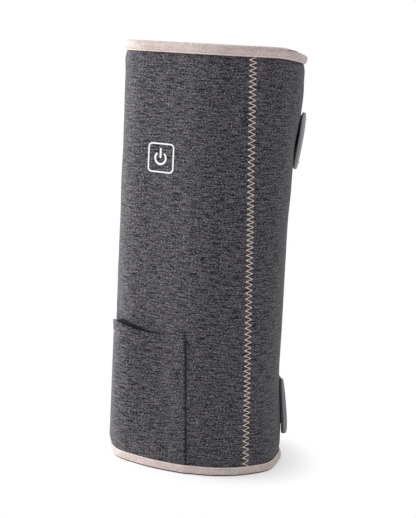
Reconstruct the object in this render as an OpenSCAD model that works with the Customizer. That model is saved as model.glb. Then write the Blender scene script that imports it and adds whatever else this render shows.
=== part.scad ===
// Heated knee brace: a padded knit sleeve that wraps the knee and closes at the back.
// It stands on its lower binding, with the power button facing -Y and +Z up.
// Every soft layer lies on one curved wall, addressed by three numbers:
// along, the distance round the wall from the middle of the flat front,
// level, the height above the table, and out, the distance outside the knit.

/* [Sleeve] */
// Height of the standing sleeve
height = 320; // [310:2:330]
// Thickness of the outer knit
knit_t = 1; // [0.8:0.1:1.2]
// Thickness of the foam core
foam_t = 4.8; // [4.8:0.1:5.4]
// Thickness of the plush lining
lining_t = 1.2; // [1:0.1:1.8]
// How far the right side is drawn in between the straps
waist = 5; // [2:0.5:6]
// How far the top edge dips at the right
top_dip = 4.5; // [0:0.5:6]

/* [Leg outline] */
// Width of the flat front face
front_flat = 36; // [34:1:38]
// Radius of the wall right of the flat
shin_r = 66; // [63:1:69]
// Angle that the wall right of the flat turns through
shin_turn = 52; // [50:1:54]
// Radius of the right side
right_r = 47; // [45:1:49]
// Angle that the right side turns through
right_turn = 116; // [113:1:118]
// Angle that the back turns through
back_turn = 50; // [48:1:52]
// Angle that the left side turns through
left_turn = 66; // [64:1:68]
// Radius of the left front corner
corner_r = 30; // [28:1:32]

/* [Seams and wings] */
// Where the zigzag seam meets the top edge, along the wall
seam_top = 64.4; // [62:0.2:68]
// Where the zigzag seam meets the table, along the wall
seam_foot = 78.1; // [74:0.2:79]
// Where the hidden seam on the left lies, along the wall
left_seam = 74; // [70:1:78]
// Where the outer wing ends, along the wall
outer_end = 175; // [170:1:180]
// Where the inner wing ends, along the wall
inner_end = 215; // [210:1:220]
// Distance that each wing moves off the wall where they overlap
stack = 4.6; // [4.6:0.1:5.2]

/* [Binding] */
// Thickness of the folded binding tape
tape_t = 0.9; // [0.7:0.1:1]
// Height of the binding on the top edge
top_tape_h = 7.5; // [6:0.5:9]
// Height of the binding on the bottom edge
foot_tape_h = 6.5; // [5:0.5:8]

/* [Pocket] */
// Left edge of the pocket, along the wall
pocket_left = 60; // [56:1:62]
// Right edge of the pocket at its mouth, along the wall
pocket_right_top = 25.4; // [22:0.2:28]
// Right edge of the pocket at the table, along the wall
pocket_right_foot = 31; // [26:0.5:34]
// Height of the lowest point of the mouth
mouth_z = 104.6; // [95:0.2:115]
// Thickness of the doubled pocket knit
pocket_t = 1.5; // [1.4:0.1:2.4]
// Depth of the pocket at its mouth
pocket_deep = 6.5; // [6:0.5:9]

/* [Straps] */
// Height of the upper strap's centre line
upper_z = 252.5; // [248:0.5:256]
// Height of the lower strap's centre line
lower_z = 43; // [40:0.5:46]
// Width of the strap webbing
strap_w = 38; // [34:1:40]
// Width of the moulded tip
tip_w = 44; // [40:1:46]
// Where the tip ends, along the wall
tip_end = 122; // [119:0.5:124]
// Thickness of the webbing
strap_t = 1.8; // [1.4:0.1:2]
// Thickness of the moulded tip
tip_t = 3; // [2.6:0.1:3.4]

/* [Button and controller] */
// Centre of the button, along the wall
button_along = -1.5; // [-2:0.1:0]
// Height of the button's centre
button_z = 236; // [230:1:240]
// Outside size of the white square
mark_w = 21.8; // [20:0.2:22.6]
// Width of the white line
mark_line = 1.1; // [1:0.1:1.8]
// Outside corner radius of the white square
mark_r = 3.5; // [2.5:0.1:4.5]
// Distance that the button travels
button_travel = 0.6; // [0.4:0.1:0.6]
// Width of the controller case
case_w = 32; // [31:0.5:33]
// Height of the controller case
case_h = 40; // [36:1:44]

/* [Heater] */
// Number of runs of heating wire
wire_runs = 10; // [6:2:10]
// Distance between two runs
wire_pitch = 11; // [9:0.5:11]
// Diameter of the heating wire
wire_d = 0.84; // [0.6:0.02:0.84]

/* [Hidden] */

charcoal = [0.34, 0.33, 0.35];
soot = [0.16, 0.16, 0.18];
taupe = [0.76, 0.70, 0.67];
plush = [0.42, 0.41, 0.43];
foam_grey = [0.22, 0.22, 0.24];
strap_grey = [0.42, 0.41, 0.43];
white = [0.96, 0.96, 0.95];

wall_t = knit_t + foam_t + lining_t;
core_in = -knit_t - foam_t;
// Half of the gap between two bodies at a seam
seam_gap = 0.25;
// Gap between the binding of a wing and the axis that it turns about
tape_gap = 1.2;
// Finest angle between two stations on a bend
bend_step = 7;
// Radius of the fold along the edge of the binding
fold_r = 1.1;
// Room between the long bindings and the wall that they grip
tape_slack = 0.05;

// The closed outline: a flat, five bends and the flat again. The radii of the
// back and of the left side follow from the outline closing on itself.
corner_turn = 360 - shin_turn - right_turn - back_turn - left_turn;
function chord(from, turn) = [sin(from + turn) - sin(from), cos(from) - cos(from + turn)];
back_from = shin_turn + right_turn;
left_from = back_from + back_turn;
corner_from = left_from + left_turn;
known = [front_flat, 0] + shin_r * chord(0, shin_turn) + right_r * chord(shin_turn, right_turn)
    + corner_r * chord(corner_from, corner_turn);
back_chord = chord(back_from, back_turn);
left_chord = chord(left_from, left_turn);
cross_chords = cross(back_chord, left_chord);
back_r = -cross(known, left_chord) / cross_chords;
left_r = -cross(back_chord, known) / cross_chords;

// One row for each stretch: length, turn and heading at its start
stretches = [
    [front_flat / 2, 0, 0],
    [shin_r * shin_turn * PI / 180, shin_turn, 0],
    [right_r * right_turn * PI / 180, right_turn, shin_turn],
    [back_r * back_turn * PI / 180, back_turn, back_from],
    [left_r * left_turn * PI / 180, left_turn, left_from],
    [corner_r * corner_turn * PI / 180, corner_turn, corner_from],
    [front_flat / 2, 0, 360]
];
last = len(stretches) - 1;

function total(list, n) = n <= 0 ? 0 : list[n - 1] + total(list, n - 1);
lengths = [for (row = stretches) row[0]];
starts = [for (i = [0:last + 1]) total(lengths, i)];
girth = starts[last + 1];

function leg(i, run) =
    let (row = stretches[i], turn = row[1] * run / row[0])
    row[1] == 0 ? run * [cos(row[2]), sin(row[2])] : row[0] / (row[1] * PI / 180) * chord(row[2], turn);
function corner_at(i) = i == 0 ? [0, 0] : corner_at(i - 1) + leg(i - 1, lengths[i - 1]);
corners = [for (i = [0:last]) corner_at(i)];

function wrapped(along) = along < 0 ? along + girth : along > girth ? along - girth : along;
function stretch_at(along) = max([for (i = [0:last]) if (starts[i] <= along) i]);
function heading(along) =
    let (a = wrapped(along), i = stretch_at(a), row = stretches[i])
    row[2] + row[1] * (a - starts[i]) / row[0];
function outline(along) =
    let (a = wrapped(along), i = stretch_at(a))
    corners[i] + leg(i, a - starts[i]);

// A smooth step from 0 at a to 1 at b
function ramp(x, a, b) = x <= a ? 0 : x >= b ? 1 : (1 - cos(180 * (x - a) / (b - a))) / 2;

// The waist is deepest at the right side, between the two straps
waist_top = upper_z + 24;
waist_foot = lower_z - 24;
waist_blend = 64;
function drawn_in(along, level) =
    let (a = wrapped(along))
    waist * ramp(a, 80, 130) * (1 - ramp(a, 135, 185)) * ramp(level, waist_foot, waist_foot + waist_blend)
    * (1 - ramp(level, waist_top - waist_blend, waist_top));

// The top edge dips right of the zigzag seam and comes back up where the wings overlap
function dip(along) =
    let (a = wrapped(along))
    top_dip * ramp(a, seam_foot, 132) * (1 - ramp(a, 136, 165));

// The outline, moved so that the whole brace is centred over the origin
function raw(along, level, out) =
    let (h = heading(along), n = [sin(h), -cos(h)], p = outline(along) + n * (out - drawn_in(along, level)))
    [p.x, p.y, level - dip(along) * pow(level / height, 6)];
function at(along, level, out) = raw(along, level, out) - centre;

// Where every layer has a station: each division of a bend, and both edges of the
// pocket, where the lower binding steps out over it
bend_divisions = [
    for (turn_no = [-1:1]) for (i = [0:last])
        let (steps = max(1, ceil(stretches[i][1] / bend_step)))
        for (k = [0:steps - 1]) turn_no * girth + starts[i] + lengths[i] * k / steps
];
pocket_steps = [for (d = [4, 2.4, 0.6]) each [-pocket_left - d, pocket_right_foot + d]];
function put_in(list, x) = concat([for (d = list) if (d < x) d], [x], [for (d = list) if (d > x) d]);
function put_all(list, extra, n) = n < 0 ? list : put_in(put_all(list, extra, n - 1), extra[n]);
divisions = put_all(bend_divisions, pocket_steps, len(pocket_steps) - 1);

// Stations from a to b: both ends and the divisions between them
function stations(a, b) = concat([a], [for (d = divisions) if (d > a + 0.8 && d < b - 0.8) d], [b]);

// The zigzag seam leans, so its cut is a flat plane square to the wall at half height
seam_mid = (seam_top + seam_foot) / 2;
seam_run = seam_foot - seam_top;
seam_lean = atan(seam_run / height);
function seam(level, out, gap) =
    let (across = (0.5 - level / height) * seam_run + gap)
    seam_mid + shin_r * asin(across / (shin_r + out)) * PI / 180;

// Where the wings overlap, the outer one steps out and the inner one steps in
function tuck(along) = -stack * ramp(along, 140, 172);
function lift(along) = stack * (1 - ramp(along, 212, 268));

top_in = height - tape_t;
wing_levels = [
    tape_t, waist_foot, waist_foot + waist_blend / 3, waist_foot + waist_blend * 2 / 3,
    waist_foot + waist_blend, waist_top - waist_blend, waist_top - waist_blend * 2 / 3,
    waist_top - waist_blend / 3, waist_top, top_in
];

// Pocket: its edges, its mouth and how far it stands off the wall
pocket_gap = 0.15;
pocket_slant = (pocket_right_foot - pocket_right_top) / mouth_z;
function pocket_right(level) = pocket_right_foot - pocket_slant * level;
mouth_left = 1.6;
mouth_rise = 7.6;
ear_rise = 3.5;
// How far the pocket stands off the wall below its mouth
pocket_slack = 5.3;
// The mouth climbs from its left end to where it gapes most, falls to the middle, and
// ends at the right in a small rounded ear
function mouth(u) =
    let (x = -pocket_left + (u + 1) / 2 * (pocket_left + pocket_right_top))
    mouth_z - mouth_left + mouth_rise * ramp(x, -59, -27) - (mouth_rise - mouth_left) * ramp(x, -38, 4)
    + 0.9 * ramp(x, 6, 17) + ear_rise * ramp(x, 16.5, 21.5) - 1.8 * pow(ramp(x, 22.5, 26.5), 2);
// The pocket gapes where the wall starts to turn round the left front corner
function pouch(u, v, level) =
    let (x = -pocket_left + (u + 1) / 2 * (pocket_left + pocket_right(level)))
    ramp(x, -46, -27) * (1 - ramp(x, -16, 25)) * ramp(level, 4, 34)
    * (pocket_slack + (pocket_deep - pocket_slack) * pow(v, 4));
function pocket_at(u, v, out) =
    let (level = tape_t + v * (mouth(u) - tape_t), right = pocket_right(level))
    at(-pocket_left + (u + 1) / 2 * (pocket_left + right), level, pocket_gap + pouch(u, v, level) + out);
pocket_across = concat(
    [-1, -0.88, -0.78], [for (k = [0:9]) -0.7 + k * 0.06], [for (k = [0:6]) -0.08 + k * 0.13],
    [for (k = [0:5]) 0.75 + k / 20]
);
pocket_up = [0, 0.06, 0.13, 0.21, 0.31, 0.5, 0.65, 0.77, 0.86, 0.93, 1];

// Straps: the inner face of the webbing, as a distance outside the wall
tip_root = tip_end + 10;
root_end = 212;
strap_hinge = outer_end + 1;
strap_gap = 0.3;
// Room under a strap's sewn end, and how far its free end stands off the wall
strap_seat = 0.1;
strap_stand = 1.9;
function strap_under(along) =
    strap_stand + (stack + tape_t + strap_seat - strap_stand) * ramp(along, 138, outer_end);

strap_rows = [-1, -0.5, 0, 0.5, 1];
tip_corner = 8;
tip_under = strap_stand - 0.2;
function tip_half(along) =
    let (e = max(0, tip_corner - (along - tip_end)))
    tip_w / 2 - tip_corner + sqrt(max(0, tip_corner * tip_corner - e * e));
tip_stations = [for (k = [0, 0.4, 1.5, 3.3, 5.6, 8, 10]) tip_end + k];
root_stations = concat([strap_hinge + strap_gap / 2], [182.8, 184.8], stations(186, root_end));
function root_under(along) = lift(along) + tape_t * (1 - ramp(along, 182.6, 185)) + strap_seat;

// The plan centre comes from the outermost points of the pocket, wall, tips and strap roots
reach = concat(
    [for (a = stations(0, girth)) raw(a, 0, tape_t)],
    [for (a = stations(outer_end, 250)) raw(a, 0, lift(a) + tape_t)],
    [for (u = pocket_across) raw(-pocket_left + (u + 1) / 2 * (pocket_left + pocket_right_top), mouth(u),
        pocket_gap + pouch(u, 1, mouth(u)) + pocket_t)],
    [for (a = tip_stations) for (z = strap_rows) raw(a, lower_z + z * tip_half(a), tip_under + tip_t)],
    [for (a = root_stations) raw(a, lower_z, root_under(a) + strap_t)]
);
xs = [for (p = reach) p.x];
ys = [for (p = reach) p.y];
centre = [(max(xs) + min(xs)) / 2, (max(ys) + min(ys)) / 2, 0];
face_y = -centre.y;

// Two triangles for each square of a grid whose corners are a, b, c and d
function tiles(a, b, c, d) = [[a, b, c], [a, c, d]];

// A closed solid between two grids of points, the first one outside
module slab(over, under) {
    n = len(over);
    m = len(over[0]);
    k = n * m;
    faces = [
        for (i = [0:n - 2]) for (j = [0:m - 2])
            let (p = i * m + j)
            each concat(tiles(p, p + 1, p + m + 1, p + m), tiles(k + p, k + p + m, k + p + m + 1, k + p + 1)),
        for (i = [0:n - 2])
            let (p = i * m, q = i * m + m - 1)
            each concat(tiles(p, p + m, k + p + m, k + p), tiles(q + m, q, k + q, k + q + m)),
        for (j = [0:m - 2])
            let (q = (n - 1) * m + j)
            each concat(tiles(j + 1, j, k + j, k + j + 1), tiles(q, q + 1, k + q + 1, k + q))
    ];
    polyhedron([for (face = [over, under]) for (row = face) for (p = row) p], faces);
}

// A closed solid swept through rings of points that all have the same count
module sweep(rings) {
    n = len(rings);
    m = len(rings[0]);
    faces = [
        [for (j = [0:m - 1]) m - 1 - j],
        for (i = [0:n - 2]) for (j = [0:m - 1])
            let (p = i * m + j, q = i * m + (j + 1) % m)
            each tiles(p, q, q + m, p + m),
        [for (j = [0:m - 1]) (n - 1) * m + j]
    ];
    polyhedron([for (ring = rings) for (p = ring) p], faces);
}

// A round tube along points on the wall, each given as along, level and out
module wall_tube(route, r, sides) {
    n = len(route);
    line = [for (p = route) at(p[0], p[1], p[2])];
    sweep([
        for (i = [0:n - 1])
            let (
                ahead = line[min(n - 1, i + 1)] - line[max(0, i - 1)],
                t = ahead / norm(ahead),
                h = heading(route[i][0]),
                side = cross(t, [sin(h), -cos(h), 0]),
                b = side / norm(side),
                c = cross(b, t)
            )
            [for (k = [0:sides - 1]) line[i] + r * (cos(360 * k / sides) * b - sin(360 * k / sides) * c)]
    ]);
}

// Front layers: a straight wall between two depths, ending on the slanted seam
module front_layer(out_a, out_b, level_a, level_b) {
    path = stations(-left_seam + seam_gap, 86);
    outer_edge = [for (a = path) let (p = at(a, 0, out_a)) [p.x, p.y]];
    inner_edge = [for (i = [len(path) - 1:-1:0]) let (p = at(path[i], 0, out_b)) [p.x, p.y]];
    intersection() {
        translate([0, 0, level_a])
            linear_extrude(level_b - level_a)
                polygon(concat(outer_edge, inner_edge));
        seam_side();
    }
}

// The half of space on the front's side of the zigzag seam
module seam_side() {
    mid = at(seam_mid, 0, 0);
    deep = 400;
    translate([mid.x, mid.y, height / 2])
        rotate([0, 0, heading(seam_mid)])
            rotate([0, -seam_lean, 0])
                translate([-deep - seam_gap, -deep / 2, -deep / 2])
                    cube(deep);
}

// Places children on the flat front: x along the wall, y up and z out of the face
module on_front(along, level) {
    translate([along - centre.x, face_y, level])
        rotate([90, 0, 0])
            children();
}

module round_square(w, h, r) {
    square([w - 2 * r, h], center = true);
    square([w, h - 2 * r], center = true);
    for (x = [-1, 1])
        for (y = [-1, 1])
            translate([x * (w / 2 - r), y * (h / 2 - r)])
                circle(r, $fn = 48);
}

// A plate on the front between two depths under the outer face
module plate(w, h, r, near, far) {
    translate([0, 0, -far])
        linear_extrude(far - near)
            round_square(w, h, r);
}

// Button and case. Depths are measured inwards from the face of the knit.
button_w = mark_w + 0.3;
button_hole = button_w + 0.5;
button_foot = 0.9;
mark_raise = 0.25;
case_cut = 0.3;
case_r = 4;
case_wall = 1.2;
case_rear = knit_t + foam_t;
hollow_w = case_w - 2 * case_wall;
hollow_h = case_h - 2 * case_wall;
hollow_r = case_r - case_wall;
parting = 3.2;
board_near = 4.1;
board_far = 4.9;
board_post_r = 0.9;
switch_w = 6;
switch_near = 2.9;
plunger_r = 1.5;
plunger_tip = 3.2;

// Power lead and its grommet
lead_along = 4;
lead_depth = 2.9;
lead_r = 1.2;
lead_slack = 0.1;
lead_slot = lead_r + 0.2;
lead_bend = 2.4;
gland_z = 84;
gland_r = 3.5;
gland_flange_r = 5.5;

// Heater: its recess in the foam, the carrier cloth and the thermal cutout
heat_top = button_z - case_h / 2;
heat_foot = 44;
heat_near = 4.4;
heat_left = -57;
heat_right = 60;
carrier_near = 5.4;
wire_foot = 56;
wire_head = 200;
cutout_along = -8;
cutout_z = 128;
cutout_near = 2.4;
cutout_size = [6, 10];

// Recess on the inner side of the foam for the heater, clear of the seams
module heater_recess() {
    path = stations(heat_left, heat_right);
    outer_edge = [for (a = path) let (p = at(a, 0, -heat_near)) [p.x, p.y]];
    inner_edge = [for (i = [len(path) - 1:-1:0]) let (p = at(path[i], 0, core_in - 1)) [p.x, p.y]];
    translate([0, 0, heat_foot])
        linear_extrude(heat_top - heat_foot)
            polygon(concat(outer_edge, inner_edge));
}

module front_outer_panel() {
    color(charcoal)
        difference() {
            front_layer(0, -knit_t, tape_t, top_in);
            on_front(button_along, button_z)
                plate(button_hole, button_hole, mark_r + 0.4, -1, knit_t + 1);
            on_front(lead_along, gland_z)
                translate([0, 0, -knit_t - 1])
                    cylinder(h = knit_t + 2, r = gland_r + lead_slack, $fn = 48);
        }
}

module front_foam() {
    color(foam_grey)
        difference() {
            front_layer(-knit_t, core_in, tape_t, top_in);
            heater_recess();
            on_front(button_along, button_z)
                plate(case_w + case_cut * 2, case_h + case_cut * 2, case_r + case_cut, 0, case_rear + 1);
            on_front(lead_along, (gland_z - 2 + heat_top) / 2)
                plate(2 * lead_slot, heat_top - gland_z + 4, 0.6, lead_depth - lead_slot, heat_near + 0.5);
            on_front(lead_along, gland_z)
                translate([0, 0, -heat_near])
                    cylinder(h = heat_near, r = gland_r + lead_slack, $fn = 48);
            on_front(cutout_along, cutout_z)
                plate(cutout_size.x + 0.4, cutout_size.y + 0.4, 1.2, cutout_near - 0.2, heat_near + 0.1);
        }
}

module front_lining() {
    color(plush)
        front_layer(core_in, -wall_t, tape_t, top_in);
}

// The folded tape as a ring round one edge of the wall. Lap is how far its outer
// leg stands off the wall, edge the height of the fold, tall the height of its legs.
function tape_ring(along_of, shift, lap, edge, tall) =
    let (s = edge > 0 ? -1 : 1, e = tape_t, f = fold_r)
    let (near = lap + tape_slack, far = -wall_t - tape_slack)
    let (loop = [
        [near, s * tall], [near + e, s * tall], [near + e, s * f], [near + e - f, 0],
        [far - e + f, 0], [far - e, s * f], [far - e, s * tall], [far, s * tall],
        [far, s * e], [near, s * e]
    ])
    let (ring = [for (p = loop) at(along_of(edge + p[1], p[0] + shift), edge + p[1], p[0] + shift)])
    edge > 0 ? ring : [for (i = [len(ring) - 1:-1:0]) ring[i]];

// How far the lower binding is pushed out by the pocket that it catches
function caught(along) =
    (pocket_t + 2 * pocket_gap) * ramp(along, -pocket_left - 4, -pocket_left - 0.5)
    * (1 - ramp(along, pocket_right_foot + 0.5, pocket_right_foot + 4));

// The last station of each list gives way to the slanted seam
head_stations = stations(-left_seam + seam_gap, seam_top);
foot_stations = stations(-left_seam + seam_gap, seam_foot - 2);

module front_tape(edge, tall, path, lap_of) {
    n = len(path);
    color(taupe)
        sweep([
            for (i = [0:n - 1])
                let (a = path[i])
                tape_ring(i < n - 1 ? function (z, o) a : function (z, o) seam(z, o, -seam_gap),
                    0, lap_of(a), edge, tall)
        ]);
}

module front_top_binding() {
    front_tape(height, top_tape_h, head_stations, function (a) 0);
}

module front_bottom_binding() {
    front_tape(0, foot_tape_h, foot_stations, function (a) caught(a));
}

module pocket_panel() {
    color(charcoal)
        slab(
            [for (u = pocket_across) [for (v = pocket_up) pocket_at(u, v, pocket_t)]],
            [for (u = pocket_across) [for (v = pocket_up) pocket_at(u, v, 0)]]
        );
}

// Grommet in the back wall of the pocket, where the power lead comes through
module cable_gland() {
    barrel = 3.9;
    rim = gland_flange_r;
    lead_hole = lead_r + lead_slack;
    slot_deep = lead_depth + lead_r + 0.2;
    color(soot)
        on_front(lead_along, gland_z)
            difference() {
                union() {
                    translate([0, 0, -barrel])
                        cylinder(h = barrel + 0.3, r = gland_r, $fn = 48);
                    rotate_extrude($fn = 48)
                        polygon([[0, 0.1], [rim, 0.1], [rim, 0.6], [rim - 0.4, 1], [0, 1]]);
                }
                translate([0, 0, -2.2])
                    cylinder(h = 4, r = lead_hole, $fn = 48);
                translate([-lead_hole, 0, -slot_deep])
                    cube([2 * lead_hole, rim + 0.5, slot_deep]);
                translate([-lead_hole, -lead_hole, -slot_deep])
                    cube([2 * lead_hole, 2 * lead_r, slot_deep - 1.2]);
            }
}

// Power lead inside the wall, from the gland up to the controller
module supply_lead() {
    bend_z = gland_z + lead_bend;
    color(soot)
        on_front(lead_along, 0) {
            translate([0, heat_top + 2, -lead_depth])
                rotate([90, 0, 0])
                    cylinder(h = heat_top + 2 - bend_z, r = lead_r, $fn = 32);
            translate([0, bend_z, -lead_depth + lead_bend])
                rotate([0, 90, 0])
                    rotate([0, 0, -90])
                        rotate_extrude(angle = 90, $fn = 32)
                            translate([lead_bend, 0])
                                circle(lead_r, $fn = 32);
            translate([0, gland_z, -lead_depth + lead_bend])
                cylinder(h = 0.9, r = lead_r, $fn = 32);
        }
}

module controller_base() {
    ledge = 1.2;
    color(soot)
        on_front(button_along, button_z)
            difference() {
                plate(case_w, case_h, case_r, parting, case_rear);
                difference() {
                    union() {
                        plate(hollow_w, hollow_h, hollow_r, parting - 1, board_far);
                        plate(hollow_w - 2 * ledge, hollow_h - 2 * ledge, 1.6, parting, board_far + 0.3);
                    }
                    board_posts(board_post_r);
                }
                lead_notch();
                heater_notch();
            }
}

// Two posts of the case that stand in the board's corner holes
module board_posts(r) {
    for (y = [-1, 1])
        translate([-(case_w / 2 - 5), y * (case_h / 2 - 6), -case_rear - 1])
            cylinder(h = case_rear + 1 - board_near, r = r, $fn = 32);
}

module lead_notch() {
    translate([lead_along - button_along, -case_h / 2 + 3, -lead_depth])
        rotate([90, 0, 0])
            cylinder(h = 4, r = lead_r + lead_slack, $fn = 32);
}

module heater_notch() {
    translate([-8, -case_h / 2 - 1, -carrier_near])
        cube([8, 3, 1.2]);
}

module controller_cover() {
    color(soot)
        on_front(button_along, button_z)
            difference() {
                plate(case_w, case_h, case_r, knit_t, parting);
                plate(hollow_w, hollow_h, hollow_r, knit_t + case_wall, parting + 1);
                plate(button_hole, button_hole, mark_r + 0.4, 0, knit_t + 2);
                lead_notch();
            }
}

module controller_board() {
    color([0.1, 0.32, 0.2])
        on_front(button_along, button_z)
            difference() {
                plate(hollow_w - 0.4, hollow_h - 0.4, hollow_r - 0.4, board_near, board_far);
                translate([0, 0, 0.5])
                    board_posts(board_post_r + 0.1);
            }
}

module tact_switch() {
    color([0.75, 0.76, 0.78])
        on_front(button_along, button_z)
            difference() {
                union() {
                    plate(switch_w, switch_w, 0.6, switch_near, board_near);
                    plate(switch_w + 2.4, 1.2, 0.2, board_near - 0.3, board_near);
                }
                translate([0, 0, -plunger_tip - button_travel - 0.1])
                    cylinder(h = 2, r = plunger_r + 0.1, $fn = 48);
            }
}

module status_leds() {
    color(white)
        on_front(button_along, button_z)
            for (x = [-7, 7])
                for (y = [-7, 7])
                    translate([x, y])
                        plate(1.6, 0.8, 0.1, board_near - 0.6, board_near);
}

module heater_carrier() {
    color([0.62, 0.6, 0.56]) {
        path = stations(heat_left + 1, heat_right - 1);
        outer_edge = [for (a = path) let (p = at(a, 0, -carrier_near)) [p.x, p.y]];
        inner_edge = [for (i = [len(path) - 1:-1:0]) let (p = at(path[i], 0, core_in)) [p.x, p.y]];
        translate([0, 0, heat_foot + 1])
            linear_extrude(heat_top - heat_foot - 10)
                polygon(concat(outer_edge, inner_edge));
    }
}

// The serpentine: upright runs joined by half turns at the top and the bottom
wire_out = -carrier_near + wire_d / 2 + 0.02;
wire_first = -(wire_runs - 1) / 2 * wire_pitch + 1.5;
wire_route = [
    for (i = [0:wire_runs - 1])
        let (x = wire_first + i * wire_pitch, down = i % 2 == 0, r = wire_pitch / 2)
        let (from = down ? wire_head : wire_foot, to = down ? wire_foot : wire_head)
        each concat(
            [[x, from, wire_out], [x, to, wire_out]],
            i == wire_runs - 1 ? [] : [
                for (w = [30:30:150])
                    [x + r - r * cos(w), to + (down ? -1 : 1) * r * sin(w), wire_out]
            ]
        )
];

module heating_wire() {
    color([0.1, 0.1, 0.1])
        wall_tube(wire_route, wire_d / 2, 6);
}

// Two leads from the controller to the ends of the serpentine
module heater_leads() {
    color([0.6, 0.12, 0.1])
        for (side = [-1, 1]) {
            x = button_along - 4 + side * 1.5;
            far = side < 0 ? wire_first : wire_first + (wire_runs - 1) * wire_pitch;
            high = heat_top - 5 + side;
            route = concat(
                [[x, heat_top + 1], [x, high + 1.4], [x + side * 0.5, high + 0.3]],
                [for (k = [1:5]) [x + (far - x) * k / 6, high]],
                [[far - side * 1.2, high], [far, high - 1.2], [far, wire_head + 0.05]]
            );
            wall_tube([for (p = route) [p.x, p.y, wire_out]], wire_d / 2, 6);
        }
}

module thermal_cutout() {
    color([0.8, 0.8, 0.82])
        on_front(cutout_along, cutout_z)
            plate(cutout_size.x, cutout_size.y, 1, cutout_near, heat_near);
}

module button_cap() {
    color(charcoal)
        on_front(button_along, button_z) {
            plate(button_w, button_w, mark_r + 0.15, 0, knit_t);
            plate(button_w - 1.6, button_w - 1.6, mark_r - 0.6, knit_t, knit_t + button_foot);
        }
}

module button_outline() {
    color(white)
        on_front(button_along, button_z)
            difference() {
                plate(mark_w, mark_w, mark_r, -mark_raise, 0);
                plate(mark_w - 2 * mark_line, mark_w - 2 * mark_line, mark_r - mark_line, -1, 1);
            }
}

module switch_plunger() {
    color([0.2, 0.2, 0.22])
        on_front(button_along, button_z)
            translate([0, 0, -plunger_tip])
                cylinder(h = plunger_tip - knit_t - button_foot, r = plunger_r, $fn = 48);
}

// The first stations of the inner wing fan out from the slanted seam
fan = 3;
fan_end = seam_foot + 4;
function along_wing(path, i, slanted, level, out, gap) =
    let (s = seam(level, out, gap))
    slanted && i < fan ? s + (fan_end - s) * i / fan : path[i];

// A layer of a wing between two depths. Base gives the wing's offset from the wall.
module wing_layer(path, slanted, base, out_a, out_b) {
    function point(i, level, out) =
        at(along_wing(path, i, slanted, level, out, seam_gap), level, out + base(path[i]));
    slab(
        [for (i = [0:len(path) - 1]) [for (z = wing_levels) point(i, z, out_a)]],
        [for (i = [0:len(path) - 1]) [for (z = wing_levels) point(i, z, out_b)]]
    );
}

module wing_tape(path, slanted, base, edge, tall) {
    color(taupe)
        sweep([
            for (i = [0:len(path) - 1])
                let (place = function (z, o) along_wing(path, i, slanted, z, o, tape_gap))
                tape_ring(place, base(path[i]), 0, edge, tall)
        ]);
}

// The tape on a wing's upright end runs between the two long tapes. Its section at
// level z: way is the direction along the wall from the fold into the wing.
end_low = foot_tape_h + 0.1;
end_high = height - top_tape_h - 0.1;
function end_ring(end, way, base, z) =
    let (leg_w = 7, e = tape_t, f = fold_r, slack = 0.1)
    let (loop = [
        [leg_w, slack], [leg_w, e], [leg_w / 2, e], [f, e], [0, e - f], [0, f - e - wall_t],
        [f, -wall_t - e], [leg_w / 2, -wall_t - e], [leg_w, -wall_t - e], [leg_w, -wall_t - slack],
        [leg_w / 2, -wall_t - slack], [e, -wall_t - slack], [e, slack], [leg_w / 2, slack]
    ])
    [for (p = loop) at(end + way * p[0], z, base(end + way * p[0]) + p[1])];

fan_steps = [for (i = [0:fan - 1]) seam_mid + i];
inner_path = concat(fan_steps, stations(fan_end, inner_end - tape_t));
inner_tape_path = concat(fan_steps, stations(fan_end, inner_end));
outer_path = stations(outer_end + tape_t, girth - left_seam - seam_gap);
outer_tape_path = stations(outer_end, girth - left_seam - tape_gap);

module inner_layer(out_a, out_b) {
    wing_layer(inner_path, true, function (a) tuck(a), out_a, out_b);
}

module inner_wing_panel() {
    color(charcoal)
        inner_layer(0, -knit_t);
}

module inner_wing_foam() {
    color(foam_grey)
        inner_layer(-knit_t, core_in);
}

module inner_wing_lining() {
    color(plush)
        inner_layer(core_in, -wall_t);
}

module inner_tape(edge, tall) {
    wing_tape(inner_tape_path, true, function (a) tuck(a), edge, tall);
}

module inner_wing_top_binding() {
    inner_tape(height, top_tape_h);
}

module inner_wing_bottom_binding() {
    inner_tape(0, foot_tape_h);
}

// The wall is upright where the inner wing ends, so its tape is a plain upright profile
module inner_wing_end_binding() {
    ring = end_ring(inner_end, -1, function (a) tuck(a), 0);
    color(taupe)
        translate([0, 0, end_low])
            linear_extrude(end_high - end_low)
                polygon([for (p = ring) [p.x, p.y]]);
}

// Hook and loop strips that hold the overlap shut
closure_t = 0.9;
closure_gap = 0.15;
closure_a = outer_end + 9;
closure_b = inner_end - 9;

closure_end = 14;

module closure(base, out_a, out_b) {
    path = stations(closure_a, closure_b);
    outer_edge = [for (a = path) at(a, 0, base(a) + out_a)];
    inner_edge = [for (i = [len(path) - 1:-1:0]) at(path[i], 0, base(path[i]) + out_b)];
    translate([0, 0, closure_end])
        linear_extrude(height - 2 * closure_end)
            polygon([for (p = concat(outer_edge, inner_edge)) [p.x, p.y]]);
}

module inner_wing_loop_strip() {
    color(soot)
        closure(function (a) tuck(a), closure_t, closure_gap);
}

module outer_wing_panel() {
    color(charcoal)
        wing_layer(outer_path, false, function (a) lift(a), 0, -knit_t);
}

module outer_wing_foam() {
    color(foam_grey)
        wing_layer(outer_path, false, function (a) lift(a), -knit_t, core_in);
}

module outer_wing_lining() {
    color(plush)
        wing_layer(outer_path, false, function (a) lift(a), core_in, -wall_t);
}

module outer_wing_top_binding() {
    wing_tape(outer_tape_path, false, function (a) lift(a), height, top_tape_h);
}

module outer_wing_bottom_binding() {
    wing_tape(outer_tape_path, false, function (a) lift(a), 0, foot_tape_h);
}

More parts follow.
